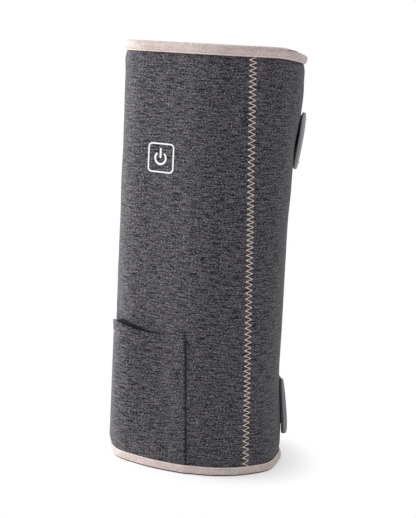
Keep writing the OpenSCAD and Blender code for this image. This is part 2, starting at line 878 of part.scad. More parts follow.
module outer_wing_end_binding() {
    levels = concat([end_low], [for (z = wing_levels) if (z > end_low && z < end_high) z], [end_high]);
    color(taupe)
        sweep([
            for (z = levels)
                let (ring = end_ring(outer_end, 1, function (a) lift(a), z))
                [for (i = [len(ring) - 1:-1:0]) ring[i]]
        ]);
}

module outer_wing_hook_strip() {
    color(soot)
        closure(function (a) lift(a), -wall_t - closure_gap, -wall_t - closure_t - closure_gap / 2);
}

// A flat strip round the wall at level z, its inner face at under(along)
module strip(path, z, rows, half, under, thick) {
    slab(
        [for (a = path) [for (r = rows) at(a, z + r * half(a), under(a) + thick)]],
        [for (a = path) [for (r = rows) at(a, z + r * half(a), under(a))]]
    );
}

// The sewn end of a strap on the outer wing
module strap_root(z) {
    color(strap_grey)
        strip(root_stations, z, strap_rows, function (a) strap_w / 2, function (a) root_under(a), strap_t);
}

webbing_path = stations(tip_root, strap_hinge - strap_gap / 2);

module strap_webbing(z) {
    color(strap_grey)
        strip(webbing_path, z, strap_rows, function (a) strap_w / 2, function (a) strap_under(a), strap_t);
}

// Hook side of the fastening, sewn under the free end of the webbing
pad_end = 160;
pad_t = 1.2;
pad_gap = 0.06;
pad_rows = [-0.9, -0.5, 0, 0.5, 0.9];

module strap_hook_pad(z) {
    path = [for (a = webbing_path) if (a > tip_root && a < pad_end) a];
    color(soot)
        strip(path, z, pad_rows, function (a) strap_w / 2, function (a) strap_under(a) - pad_t,
            pad_t - pad_gap);
}

// The moulded grip on the end of a strap, with rounded corners
module strap_tip(z) {
    color(strap_grey)
        strip(tip_stations, z, strap_rows, function (a) tip_half(a), function (a) tip_under, tip_t);
}

front_outer_panel();
front_foam();
front_lining();
front_top_binding();
front_bottom_binding();
pocket_panel();
cable_gland();
supply_lead();
controller_base();
controller_cover();
controller_board();
tact_switch();
status_leds();
heater_carrier();
heating_wire();
heater_leads();
thermal_cutout();
button_cap();
button_outline();
switch_plunger();
inner_wing_panel();
inner_wing_foam();
inner_wing_lining();
inner_wing_top_binding();
inner_wing_bottom_binding();
inner_wing_end_binding();
inner_wing_loop_strip();
outer_wing_panel();
outer_wing_foam();
outer_wing_lining();
outer_wing_top_binding();
outer_wing_bottom_binding();
outer_wing_end_binding();
outer_wing_hook_strip();
strap_root(upper_z);  // upper_strap_root
strap_webbing(upper_z);  // upper_strap_webbing
strap_hook_pad(upper_z);  // upper_strap_hook_pad
strap_tip(upper_z);  // upper_strap_tip
strap_root(lower_z);  // lower_strap_root
strap_webbing(lower_z);  // lower_strap_webbing
strap_hook_pad(lower_z);  // lower_strap_hook_pad
strap_tip(lower_z);  // lower_strap_tip
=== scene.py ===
"""The looks of a heated knee brace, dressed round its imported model.

A soft piece is drawn flat first, as its pattern lies on a bench: x runs round the wall, y up it
and z out of the knit, in millimetres. wrap() then lays the drawing on the curved wall.
"""

import math

import bmesh
import bpy
import numpy as np
from mathutils import Matrix, Vector, noise


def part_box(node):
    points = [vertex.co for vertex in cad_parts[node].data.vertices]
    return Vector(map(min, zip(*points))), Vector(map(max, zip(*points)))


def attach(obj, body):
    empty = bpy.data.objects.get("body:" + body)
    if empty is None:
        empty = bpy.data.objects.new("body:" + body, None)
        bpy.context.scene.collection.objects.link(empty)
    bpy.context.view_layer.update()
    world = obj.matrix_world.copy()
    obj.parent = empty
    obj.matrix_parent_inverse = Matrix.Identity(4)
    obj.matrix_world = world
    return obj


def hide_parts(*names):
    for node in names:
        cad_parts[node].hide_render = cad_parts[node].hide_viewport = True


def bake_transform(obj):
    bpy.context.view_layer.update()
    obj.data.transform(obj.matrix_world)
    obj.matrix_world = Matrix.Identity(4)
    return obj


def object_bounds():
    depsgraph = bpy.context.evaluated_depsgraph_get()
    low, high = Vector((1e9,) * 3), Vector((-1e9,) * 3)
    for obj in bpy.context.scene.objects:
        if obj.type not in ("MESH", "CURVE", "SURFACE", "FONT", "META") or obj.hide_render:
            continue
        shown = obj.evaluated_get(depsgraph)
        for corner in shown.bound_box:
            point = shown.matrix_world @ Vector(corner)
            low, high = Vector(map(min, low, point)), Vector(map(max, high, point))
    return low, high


MM = 0.001

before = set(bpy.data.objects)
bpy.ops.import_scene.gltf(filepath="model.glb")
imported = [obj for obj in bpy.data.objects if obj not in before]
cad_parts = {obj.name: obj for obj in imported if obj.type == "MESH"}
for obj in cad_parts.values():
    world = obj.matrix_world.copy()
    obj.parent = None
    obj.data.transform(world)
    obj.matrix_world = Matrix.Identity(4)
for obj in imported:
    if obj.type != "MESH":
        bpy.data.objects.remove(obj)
cad_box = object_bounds()

# The wall of the brace, in millimetres and degrees
HEIGHT = 320
FLAT = 36
SHIN, RIGHT, CORNER = (66, 52), (47, 116), (30, 76)
BACK_TURN, LEFT_TURN = 50, 66
KNIT, FOAM, LINING = 1, 4.8, 1.2
WALL = KNIT + FOAM + LINING
# The waist of the right side: its depth, then where it starts and ends round the wall and up it
WAIST, WAIST_AROUND, WAIST_UP = 5, (80, 130, 135, 185), (19, 83, 212.5, 276.5)

# The seams, the wings and the overlap at the back
SEAM_TOP, SEAM_FOOT = 64.4, 78.1
LEFT_SEAM = -74
OUTER_END, INNER_END = 175, 215
STACK = 4.6
BEND_ZONE = 16
# Where the wall stays even, so that the two wings lie on each other
OVERLAP = (150, 168, 214, 232)
# The top edge's dip at the right: its depth, and where it starts and ends round the wall
TOP_DIP, DIP_AROUND = 4.5, (SEAM_FOOT, 132, 136, 165)

# The soft foot as the photo shows it. Each sag: its place from the front's middle, width and depth, and
# the height over which it fades. The tuck at the left: its depth, sides and height.
FOOT_SAGS = ((3, 17, 2.2, 55), (97, 8, 1.2, 55), (119, 9, -1.2, 34))
FOOT_TUCK, TUCK_SIDES, TUCK_HEIGHT = 2.6, (15, 50, 62, 86), 13

# The soft wall as the photo shows it. The hollow over the pocket and the valley above it, which the
# heater behind them limits, and the full side with its swells up the wall: place, width, height.
HOLLOW, HOLLOW_ALONG, HOLLOW_UP = 2.3, (-32, 12), (107, 15)
VALLEY, VALLEY_ALONG, VALLEY_UP = 0.9, (-40, 7), (96, 112, 118, 178)
HOLLOW_LIMIT = 2.4
SIDE, SIDE_ALONG = 0.7, (96, 118, 140, 152)
SIDE_SWELLS = ((290, 12, 1), (217, 17, 1.6), (110, 45, 1), (253, 15, -1.8))

# The padding: slow swells as (depth, grain), the bulge and groove along a sewn seam as (distance,
# width, depth), the groove just outside the pocket, and the pinch, bulge and crease along the tapes
SWELLS = ((0.42, 24), (0.16, 75))
SEAM_SHAPE = ((6.5, 3, 0.3), (0, 2.1, -0.6))
POCKET_GROOVE, POCKET_GROOVE_W, POCKET_GROOVE_OUT, POCKET_GROOVE_TOP = 0.6, 0.9, 0.8, (102, 108)
PINCH, PINCH_FROM, PINCH_TO = 0.35, 7, 15
EDGE_BULGE, EDGE_BULGE_AT = 0.35, (14, 5)
CREASE_DEPTH, CREASE_W = 0.5, 0.7
# Half of the flat field round the button, and the width of its blend into the padding
FIELD_HALF_W, FIELD_HALF_H, FIELD_BLEND = 17, 21, 9

# The folded binding
TAPE = 0.9
TOP_TAPE, FOOT_TAPE = 7.5, 6.5

# The pocket's left and right edges, and its mouth
POCKET_LEFT, POCKET_TOP, POCKET_FOOT = -60, 25.4, 31
MOUTH, POCKET_GAP = 104.6, 0.15

# The layers end short of the fold of the binding, and share their rows at every seam
LOW, HIGH = 2.5, 317.5
CELL = 2
# Extra rows follow the crease that the edge of each long tape presses into the wall
CREASE = 0.9
CREASE_ROWS = [FOOT_TAPE + gap for gap in (0.1, 0.6, 1.1, 1.7)]
CREASE_ROWS += [HEIGHT - TOP_TAPE - gap for gap in (0.1, 0.6, 1.1, 1.7)]


def ramp(x, a, b):
    """A smooth step from 0 at a to 1 at b"""
    return (1 - np.cos(np.pi * np.clip((x - a) / (b - a), 0, 1))) / 2


def bell(x, top, width):
    """1 at its top, fading over a width both ways"""
    return np.exp(-(((x - top) / width) ** 2))


def hill(x, a, b, c, d):
    """Rises smoothly from 0 at a to 1 at b, and falls from 1 at c to 0 at d"""
    return ramp(x, a, b) * (1 - ramp(x, c, d))


def middle(node):
    """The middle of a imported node, in millimetres"""
    low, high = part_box(node)
    return (low + high) / 2 / MM


# The outline


def chord(heading, turn):
    """How far an arc of radius 1 gets that starts at a heading and turns"""
    a, b = np.radians([heading, heading + turn])
    return np.array([np.sin(b) - np.sin(a), np.cos(a) - np.cos(b)])


def outline():
    """Distances round the leg where a bend starts, the headings there, and the sampled line"""
    turns = [SHIN[1], RIGHT[1], BACK_TURN, LEFT_TURN, CORNER[1]]
    headings = np.concatenate([[0, 0], np.cumsum(turns), [360]])
    known = FLAT * np.array([1, 0]) + SHIN[0] * chord(0, SHIN[1])
    known = known + RIGHT[0] * chord(headings[2], RIGHT[1]) + CORNER[0] * chord(headings[5], CORNER[1])
    free = np.stack([chord(headings[3], BACK_TURN), chord(headings[4], LEFT_TURN)], 1)
    back_r, left_r = np.linalg.solve(free, -known)
    radii = [SHIN[0], RIGHT[0], back_r, left_r, CORNER[0]]
    lengths = [FLAT / 2, *(r * math.radians(t) for r, t in zip(radii, turns)), FLAT / 2]
    starts = np.concatenate([[0], np.cumsum(lengths)])
    distance = np.linspace(0, starts[-1], 3000)
    heading = np.radians(np.interp(distance, starts, headings))
    half = (heading[1:] + heading[:-1]) / 2
    step = distance[1]
    x = np.concatenate([[0], np.cumsum(step * np.cos(half))])
    y = np.concatenate([[0], np.cumsum(step * np.sin(half))])
    return starts, headings, distance, x, y


STARTS, HEADINGS, DISTANCE, LINE_X, LINE_Y = outline()
GIRTH = STARTS[-1]
BUTTON_X, BUTTON_Y = -1.5, middle("button_cap").z
SHIFT_X = BUTTON_X - middle("button_cap").x
SHIFT_Y = -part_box("front_outer_panel")[0].y / MM


def foot_sag(around, level):
    """How far the lower edge sags out at the front and at the right, and in at the corners"""
    front = np.where(around > GIRTH / 2, around - GIRTH, around)
    sag = -FOOT_TUCK * hill(-front, *TUCK_SIDES) * (1 - ramp(level, 0, TUCK_HEIGHT))
    for place, width, depth, fade in FOOT_SAGS:
        sag = sag + depth * bell(front, place, width) * (1 - ramp(level, 0, fade))
    return sag


def on_wall(along, level, out):
    """Places in metres, from millimetres round the wall, up it and out of it"""
    around = np.mod(along, GIRTH)
    heading = np.radians(np.interp(around, STARTS, HEADINGS))
    waist = WAIST * hill(around, *WAIST_AROUND) * hill(level, *WAIST_UP)
    reach = out - waist + foot_sag(around, level)
    x = np.interp(around, DISTANCE, LINE_X) + np.sin(heading) * reach - SHIFT_X
    y = np.interp(around, DISTANCE, LINE_Y) - np.cos(heading) * reach - SHIFT_Y
    dip = TOP_DIP * hill(around, *DIP_AROUND) * (level / HEIGHT) ** 6
    return MM * np.stack([x, y, level - dip], -1)


def point(along, level, out=0):
    return Vector(on_wall(along, level, out))


def zigzag_seam(level):
    """Where the slanted seam between the front and the inner wing runs"""
    lean = (0.5 - level / HEIGHT) * (SEAM_FOOT - SEAM_TOP)
    return (SEAM_TOP + SEAM_FOOT) / 2 + SHIN[0] * np.arcsin(lean / SHIN[0])


def pocket_right(level):
    """The right edge of the pocket, which leans to the left"""
    return POCKET_FOOT - (POCKET_FOOT - POCKET_TOP) / MOUTH * level


def upright(along):
    """An upright edge"""
    return lambda level: along


# The hidden seam between the front and the outer wing, seen from the front
left_seam = upright(LEFT_SEAM)


def tuck(along):
    """How far the inner wing steps in under the outer one"""
    return -STACK * ramp(along, 140, 172)


def lift(along):
    """How far the outer wing steps out over the inner one"""
    return STACK * (1 - ramp(along, 212, 268))


# Soft shape: slow swells, a groove along each sewn seam, and a pinch at the bindings


def swell(along, level, places):
    """How far the padded wall swells at each point, in millimetres"""
    slow = np.zeros(len(along))
    for depth, grain in SWELLS:
        slow = slow + depth * np.array([noise.noise(Vector(p) * grain) for p in places])
    hollow = HOLLOW * bell(along, *HOLLOW_ALONG) * bell(level, *HOLLOW_UP)
    valley = VALLEY * bell(along, *VALLEY_ALONG) * hill(level, *VALLEY_UP)
    side = sum(height * bell(level, place, width) for place, width, height in SIDE_SWELLS)
    slow = slow - np.minimum(hollow + valley, HOLLOW_LIMIT) + SIDE * hill(along, *SIDE_ALONG) * side
    groove = -POCKET_GROOVE * bell(along, pocket_right(level) + POCKET_GROOVE_OUT, POCKET_GROOVE_W)
    groove = groove * (1 - ramp(level, *POCKET_GROOVE_TOP))
    for seam in (zigzag_seam(level), LEFT_SEAM, LEFT_SEAM + GIRTH):
        for distance, width, depth in SEAM_SHAPE:
            groove = groove + depth * bell(np.abs(along - seam), distance, width)
    edge = np.minimum(level, HEIGHT - level)
    pinch = 1 - ramp(edge, PINCH_FROM, PINCH_TO)
    crease = np.minimum(np.abs(level - FOOT_TAPE - CREASE), np.abs(HEIGHT - TOP_TAPE - CREASE - level))
    aside = np.maximum(np.abs(along - BUTTON_X) - FIELD_HALF_W, np.abs(level - BUTTON_Y) - FIELD_HALF_H)
    free = ramp(aside, 0, FIELD_BLEND) * (1 - hill(along, *OVERLAP))
    edges = EDGE_BULGE * bell(edge, *EDGE_BULGE_AT) - PINCH * pinch - CREASE_DEPTH * bell(crease, 0, CREASE_W)
    return ((slow + groove) * (1 - pinch) + edges) * free


# Making meshes

# Corners closer than this are one, and edges past these angles are rounded off, or shaded as edges
WELD, SHARP, SHADED = 1e-4, 60, 42


def grid(bm, columns, rows, place):
    """Adds a grid and returns its corners, which lie at place(s, t) with s and t from 0 to 1 over it"""
    made = bmesh.ops.create_grid(bm, x_segments=columns, y_segments=rows, size=0.5)["verts"]
    for v in made:
        v.co = place(v.co.x + 0.5, v.co.y + 0.5)
    return made


def pattern(bm, edge_a, edge_b, low, high, cell=CELL, rows=None):
    """Adds a flat grid between two edges, each a function of the level"""
    mid = (low + high) / 2
    columns = max(1, round((edge_b(mid) - edge_a(mid)) / cell))

    def place(s, t):
        level = low + t * (high - low)
        return (edge_a(level) + s * (edge_b(level) - edge_a(level)), level, 0)

    grid(bm, columns, rows or max(1, round((high - low) / cell)), place)


def cut(bm, place, normal):
    """Cuts the drawing along a plane"""
    everything = bm.verts[:] + bm.edges[:] + bm.faces[:]
    bmesh.ops.bisect_plane(bm, geom=everything, plane_co=place, plane_no=normal)


def score(bm, xs, ys):
    """Cuts the drawing along upright and level lines, so that a step can follow them"""
    for values, normal in ((xs, (1, 0, 0)), (ys, (0, 1, 0))):
        for value in values:
            cut(bm, Vector(normal) * value, normal)


def cut_window(bm, x, y, half_w, half_h):
    """Cuts a window out of the drawing"""
    score(bm, (x - half_w, x + half_w), (y - half_h, y + half_h))
    middles = [(face, face.calc_center_median()) for face in bm.faces]
    inside = [face for face, at in middles if abs(at.x - x) < half_w and abs(at.y - y) < half_h]
    bmesh.ops.delete(bm, geom=inside, context="FACES")


def thicken(bm, thickness):
    """Gives the drawing its thickness, inwards, and returns the corners of the inner side"""
    made = bmesh.ops.extrude_face_region(bm, geom=bm.faces[:])
    inner = [v for v in made["geom"] if isinstance(v, bmesh.types.BMVert)]
    bmesh.ops.translate(bm, verts=inner, vec=(0, 0, -thickness))
    bmesh.ops.recalc_face_normals(bm, faces=bm.faces)
    return inner


def soften(bm, width, segments=2):
    """Rounds the sharp edges of the drawing"""
    sharp = [e for e in bm.edges if e.calc_face_angle(0) > math.radians(SHARP)]
    bmesh.ops.bevel(
        bm, geom=sharp, offset=width, affect="EDGES", segments=segments, profile=0.5, material=-1
    )


def cloth_map(bm):
    return bm.loops.layers.uv.get("cloth") or bm.loops.layers.uv.new("cloth")


def roll(bm, route, radius, sides=6, index=0):
    """Rolls a grid into a thread along a route, closed at both ends"""
    cloth = cloth_map(bm)
    route = [Vector(p) for p in route]
    route = [route[0], *route, route[-1]]
    rings = len(route) - 1
    reach = [0]
    for a, b in zip(route, route[1:]):
        reach.append(reach[-1] + (b - a).length)
    spots = []

    def place(s, turn):
        i = round(s * rings)
        spots.append((reach[i], turn))
        ahead = (route[min(i + 1, rings)] - route[max(i - 1, 0)]).normalized()
        side = ahead.cross(Vector((0, 0, 1))).normalized()
        angle = -2 * math.pi * turn
        turned = math.cos(angle) * side + math.sin(angle) * side.cross(ahead)
        return route[i] + (0 if i in (0, rings) else radius) * turned

    made = grid(bm, rings, sides, place)
    spot = dict(zip(made, spots))
    for face in {f for v in made for f in v.link_faces}:
        face.material_index = index
        for loop in face.loops:
            loop[cloth].uv = spot[loop.vert]
    bmesh.ops.remove_doubles(bm, verts=made, dist=WELD)


def tube(bm, ring, steps, place):
    """Rolls a grid into a tube with closed ends: place() takes a share of its way and a ring point"""
    sides = len(ring)
    grid(bm, steps, sides, lambda s, t: place(s, ring[round(t * sides) % sides]))
    bmesh.ops.remove_doubles(bm, verts=bm.verts, dist=WELD)
    bmesh.ops.holes_fill(bm, edges=[e for e in bm.edges if e.is_boundary])
    bmesh.ops.recalc_face_normals(bm, faces=bm.faces)


def band(bm, edge_a, edge_b, ring):
    """A tube round the wall between two edges. Its section is the ring of points (out, level)."""

    def place(share, spot):
        out, level = spot
        return (edge_a(level) + share * (edge_b(level) - edge_a(level)), level, out)

    tube(bm, ring, round((edge_b(ring[0][1]) - edge_a(ring[0][1])) / CELL), place)


def write_cloth_map(bm):
    """Keeps the place of each corner on the flat drawing, so that the knit follows the wall"""
    cloth = cloth_map(bm)
    for face in bm.faces:
        for loop in face.loops:
            loop[cloth].uv = loop.vert.co.xy


def wrap(bm, rise=None, soft=False, mapped=True):
    """Lays a flat drawing on the wall. Rise gives its offset from the wall along its way."""
    if mapped:
        write_cloth_map(bm)
    along, level, out = np.array([v.co for v in bm.verts]).T
    if soft:
        out = out + swell(along, level, on_wall(along, level, 0))
    if rise:
        out = out + rise(along)
    for v, place in zip(bm.verts, on_wall(along, level, out)):
        v.co = place


def bend_line(seam, way):
    """Where a wing starts to bend at a seam, and where it has bent"""
    foot, top = point(seam(0), 0), point(seam(HEIGHT), HEIGHT)
    mid = HEIGHT / 2
    start = point(seam(mid), mid)
    out = point(seam(mid), mid, 1) - start
    return start, start + (top - foot).cross(out).normalized() * way * BEND_ZONE * MM


BENDS = {
    "inner_wing": ("front", *bend_line(zigzag_seam, 1)),
    "outer_wing": ("front", *bend_line(left_seam, -1)),
}


def put(name, data):
    """Adds an object to the scene"""
    made = bpy.data.objects.new(name, data)
    bpy.context.scene.collection.objects.link(made)
    return made


def piece(name, bm, finish, slot, body, bends=False, replaces=()):
    """Finishes a drawing as a named piece, which is carried by its body when it has one and doesn't bend"""
    for face in bm.faces:
        face.smooth = True
    for edge in bm.edges:
        edge.smooth = edge.calc_face_angle(0) < math.radians(SHADED)
    mesh = bpy.data.meshes.new(name)
    bm.to_mesh(mesh)
    bm.free()
    for material in finish if isinstance(finish, tuple) else (finish,):
        mesh.materials.append(material)
    made = put(name, mesh)
    if bends:
        parent, start, end = BENDS[body]
        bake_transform(made)
        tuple(start)
        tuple(end)
    elif body:
        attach(made, body)
    if replaces:
        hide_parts(*replaces)
    return made


# Shader maths


class Signal:
    """A number that changes over the surface, so that shader maths reads as sums"""

    def __init__(self, finish, socket):
        self.finish, self.socket = finish, socket

    def _with(self, operation, *values):
        made = self.finish.node("Math", {"operation": operation}, dict(enumerate(values)))
        return Signal(self.finish, made.outputs[0])

    def __add__(self, other):
        return self._with("ADD", self, other)

    __radd__ = __add__

    def __rsub__(self, other):
        return self._with("SUBTRACT", other, self)

    def __mul__(self, other):
        return self._with("MULTIPLY", self, other)

    __rmul__ = __mul__

    def __abs__(self):
        return self._with("ABSOLUTE", self)

    def sine(self):
        return self._with("SINE", self)

    def between(self, low, high):
        """0 below low, 1 above high and even in between"""
        made = self.finish.node("MapRange", {"clamp": True}, {0: self, 1: low, 2: high})
        return Signal(self.finish, made.outputs[0])


class Finish:
    """A material. Fixed values sit on the shader's own sockets; what varies is linked to them."""

    def __init__(self, name, fixed):
        self.material = bpy.data.materials.new(name)
        self.material.use_nodes = True
        self.tree = self.material.node_tree
        self.shader = self.tree.nodes["Principled BSDF"]
        for socket, value in fixed.items():
            self.shader.inputs[socket].default_value = value

    def feed(self, socket, value):
        if isinstance(value, Signal):
            value = value.socket
        if isinstance(value, bpy.types.NodeSocket):
            self.tree.links.new(value, socket)
        else:
            socket.default_value = value

    def node(self, kind, settings=None, sockets=None):
        """Adds a node: its settings first, then the values or links of its sockets"""
        made = self.tree.nodes.new("ShaderNode" + kind)
        for setting, value in (settings or {}).items():
            setattr(made, setting, value)
        for socket, value in (sockets or {}).items():
            self.feed(made.inputs[socket], value)
        return made

    def cloth(self, across=1, up=1):
        """The place on the flat drawing, in millimetres, times a scale each way"""
        place = self.node("UVMap", {"uv_map": "cloth"}).outputs[0]
        return self.node("VectorMath", {"operation": "MULTIPLY"}, {0: place, 1: (across, up, 1)}).outputs[0]

    def body(self, x=1, y=None, z=None):
        """The place in the object, in millimetres, times a scale each way"""
        scale = tuple(1000 * (x if k is None else k) for k in (x, y, z))
        place = self.node("TexCoord").outputs["Object"]
        return self.node("VectorMath", {"operation": "MULTIPLY"}, {0: place, 1: scale}).outputs[0]

    def part(self, vector, axis):
        """One part of a vector"""
        return Signal(self, self.node("SeparateXYZ", None, {0: vector}).outputs[axis])

    def noise(self, vector, detail=2, roughness=0.5, distortion=0):
        sockets = {"Vector": vector, "Scale": 1, "Detail": detail, "Roughness": roughness}
        return Signal(self, self.node("TexNoise", None, {**sockets, "Distortion": distortion}).outputs[0])

    def cells(self, vector):
        made = self.node("TexVoronoi", None, {"Vector": vector, "Scale": 1})
        return Signal(self, made.outputs["Distance"])

    def mix(self, share, a, b):
        """A colour between two colours"""
        a, b = ((*colour, 1) if isinstance(colour, tuple) else colour for colour in (a, b))
        return self.node("Mix", {"data_type": "RGBA"}, {0: share, 6: a, 7: b}).outputs[2]

    def bump(self, height, depth, strength=1):
        """A normal from a height of 0 to 1, over a depth in millimetres"""
        sockets = {"Height": height, "Distance": depth * MM, "Strength": strength}
        return self.node("Bump", None, sockets).outputs[0]

    def show(self, colour=None, roughness=None, normal=None):
        """Links what varies, and returns the material"""
        for socket, value in (("Base Color", colour), ("Roughness", roughness), ("Normal", normal)):
            if value is not None:
                self.feed(self.shader.inputs[socket], value)
        return self.material


# Cloth finishes


def heather_knit():
    """Charcoal melange knit: short level streaks of pale and dark fibre over a fine brushed face"""
    knit = Finish("heather knit", {"Sheen Weight": 0.2, "Sheen Roughness": 0.45, "Specular IOR Level": 0.25})
    streak = knit.noise(knit.cloth(0.12, 0.85), 2, 0.5)
    grain = knit.noise(knit.cloth(0.78, 1.05), 1, 0.5)
    fleck = knit.noise(knit.cloth(0.8, 1.2), 1, 0.5)
    tone = streak * 0.52 + grain * 0.48
    dark = knit.mix(tone.between(0.425, 0.595), (0.0022, 0.002, 0.0024), (0.114, 0.106, 0.122))
    colour = knit.mix((fleck * 0.92 + streak * 0.08).between(0.56, 0.7), dark, (0.32, 0.297, 0.34))
    course = (knit.part(knit.cloth(), 1) * (2 * math.pi / 0.9) + fleck * 5).sine() * 0.5 + 0.5
    fibre = knit.noise(knit.cloth(1.6, 3.4), 3, 0.7)
    normal = knit.bump(course * 0.35 + fibre * 0.65 + tone * 0.9, 0.42, 0.8)
    return knit.show(colour, fibre * 0.12 + 0.84, normal)


def brushed_tape():
    """Taupe brushed binding: a soft short nap with a fine grain"""
    tape = Finish("brushed tape", {"Sheen Weight": 0.12, "Sheen Roughness": 0.5, "Specular IOR Level": 0.2})
    grain = tape.noise(tape.cloth(0.6, 0.8), 3, 0.65)
    mottle = tape.noise(tape.cloth(0.12, 0.25), 2)
    speck = tape.noise(tape.cloth(0.9, 1.1), 1).between(0.64, 0.76)
    tone = (grain * 0.7 + mottle * 0.3).between(0.35, 0.63)
    plain = tape.mix(tone, (0.46, 0.375, 0.35), (0.74, 0.63, 0.6))
    colour = tape.mix(speck * 0.7, plain, (0.2, 0.15, 0.135))
    nap = tape.noise(tape.cloth(2.2, 3.2), 2, 0.7)
    return tape.show(colour, nap * 0.1 + 0.84, tape.bump(nap * 0.5 + grain * 0.7, 0.35, 0.8))


def sewing_thread(name, pale, deep):
    """Polyester thread with the slant of its twist"""
    thread = Finish(name, {"Sheen Weight": 0.2, "Specular IOR Level": 0.4})
    run = thread.cloth()
    twist = ((thread.part(run, 0) * 1.6 + thread.part(run, 1)) * (2 * math.pi)).sine() * 0.5 + 0.5
    return thread.show(thread.mix(twist, deep, pale), 0.55 + twist * 0.1, thread.bump(twist, 0.06))


def plush():
    """Grey short plush of the lining"""
    pile = Finish("plush lining", {"Sheen Weight": 0.8, "Sheen Roughness": 0.35, "Specular IOR Level": 0.15})
    tuft = pile.noise(pile.cloth(0.9, 0.7), 4, 0.7, 0.6)
    sweep = pile.noise(pile.cloth(0.05, 0.03), 2)
    tone = (tuft * 0.65 + sweep * 0.35).between(0.3, 0.7)
    colour = pile.mix(tone, (0.07, 0.068, 0.074), (0.2, 0.195, 0.207))
    return pile.show(colour, 0.93, pile.bump(tuft, 0.7, 0.9))


def open_foam():
    """Dark foam with open pores on its cut faces"""
    foam = Finish("open foam", {"Specular IOR Level": 0.2})
    pore = foam.cells(foam.body(1.1)).between(0.05, 0.6)
    colour = foam.mix(pore, (0.012, 0.012, 0.014), (0.06, 0.06, 0.066))
    return foam.show(colour, 0.92, foam.bump(pore, 0.5, 0.8))


def webbing_weave():
    """Grey woven webbing with ribs along its length"""
    web = Finish("grey webbing", {"Sheen Weight": 0.25, "Specular IOR Level": 0.35})
    run = web.cloth()
    ribs = (web.part(run, 1) * (2 * math.pi / 1.1)).sine()
    picks = (web.part(run, 0) * (2 * math.pi / 0.7)).sine()
    weave = (ribs * picks) * 0.3 + abs(ribs) * 0.7
    wear = web.noise(web.cloth(0.2, 0.5), 3)
    tone = (weave * 0.6 + wear * 0.5).between(0.1, 0.9)
    colour = web.mix(tone, (0.085, 0.082, 0.09), (0.2, 0.192, 0.207))
    return web.show(colour, 0.78 - weave * 0.1, web.bump(weave, 0.25, 0.9))


def moulded_grip():
    """Satin grey grip on the strap ends"""
    grip = Finish("moulded grip", {"Specular IOR Level": 0.4})
    grain = grip.noise(grip.body(2.5), 3, 0.6)
    rub = grip.noise(grip.body(0.15, 0.15, 0.05), 2)
    colour = grip.mix(grain * 0.4 + rub * 0.6, (0.28, 0.255, 0.28), (0.37, 0.34, 0.37))
    return grip.show(colour, 0.5 + grain * 0.15, grip.bump(grain, 0.06, 0.6))


def hook_tape():
    """Black hook tape: rows of tiny stiff hooks"""
    hooks = Finish("hook tape", {"Specular IOR Level": 0.5})
    run = hooks.cloth()
    across, up = ((hooks.part(run, k) * (2 * math.pi / pitch)).sine() for k, pitch in ((0, 1.3), (1, 0.9)))
    head = (across * up).between(0.1, 0.9)
    colour = hooks.mix(head, (0.012, 0.012, 0.013), (0.06, 0.06, 0.064))
    return hooks.show(colour, 0.6 - head * 0.2, hooks.bump(head, 0.5))


def loop_tape():
    """Black loop tape: a tangle of fine loops"""
    loops = Finish("loop tape", {"Sheen Weight": 0.6, "Sheen Roughness": 0.4, "Specular IOR Level": 0.2})
    tangle = loops.noise(loops.cloth(1.4, 1.2), 4, 0.75, 1.5)
    colour = loops.mix(tangle.between(0.3, 0.7), (0.012, 0.012, 0.014), (0.07, 0.069, 0.075))
    return loops.show(colour, 0.9, loops.bump(tangle, 0.6))


def white_ink():
    """White print that has soaked a little into the knit"""
    ink = Finish("white ink", {"Specular IOR Level": 0.35})
    weave = ink.noise(ink.body(1.3, 1.3, 2.6), 3, 0.65)
    colour = ink.mix(weave.between(0.2, 0.55), (0.74, 0.735, 0.73), (0.93, 0.93, 0.925))
    return ink.show(colour, 0.5 + weave * 0.15, ink.bump(weave, 0.12, 0.7))


# Finishes of the parts inside


def satin(name, pale, deep, roughness=0.5, metallic=0.0):
    """A moulded or pressed part with a fine even grain and faint handling marks"""
    part = Finish(name, {"Metallic": metallic})
    fine = part.noise(part.body(1.2), 4, 0.65)
    marks = part.noise(part.body(0.15), 3)
    colour = part.mix((fine * 0.5 + marks * 0.5).between(0.3, 0.7), deep, pale)
    return part.show(colour, fine * 0.15 + (roughness - 0.07), part.bump(fine, 0.04, 0.6))


def solder_mask():
    """Green board with faint copper tracks under the mask"""
    board = Finish("solder mask", {"Coat Weight": 0.3, "Coat Roughness": 0.2})
    tracks = board.cells(board.body(0.55)).between(0.28, 0.34)
    colour = board.mix(tracks, (0.02, 0.16, 0.07), (0.012, 0.085, 0.035))
    return board.show(colour, 0.35, board.bump(tracks, 0.03))


def carrier_felt():
    """Pale felt that carries the heating wire"""
    felt = Finish("carrier felt", {"Sheen Weight": 0.4, "Specular IOR Level": 0.15})
    fibre = felt.noise(felt.body(1.2), 4, 0.75, 1.2)
    colour = felt.mix(fibre.between(0.3, 0.7), (0.32, 0.3, 0.27), (0.5, 0.475, 0.43))
    return felt.show(colour, 0.93, felt.bump(fibre, 0.4))


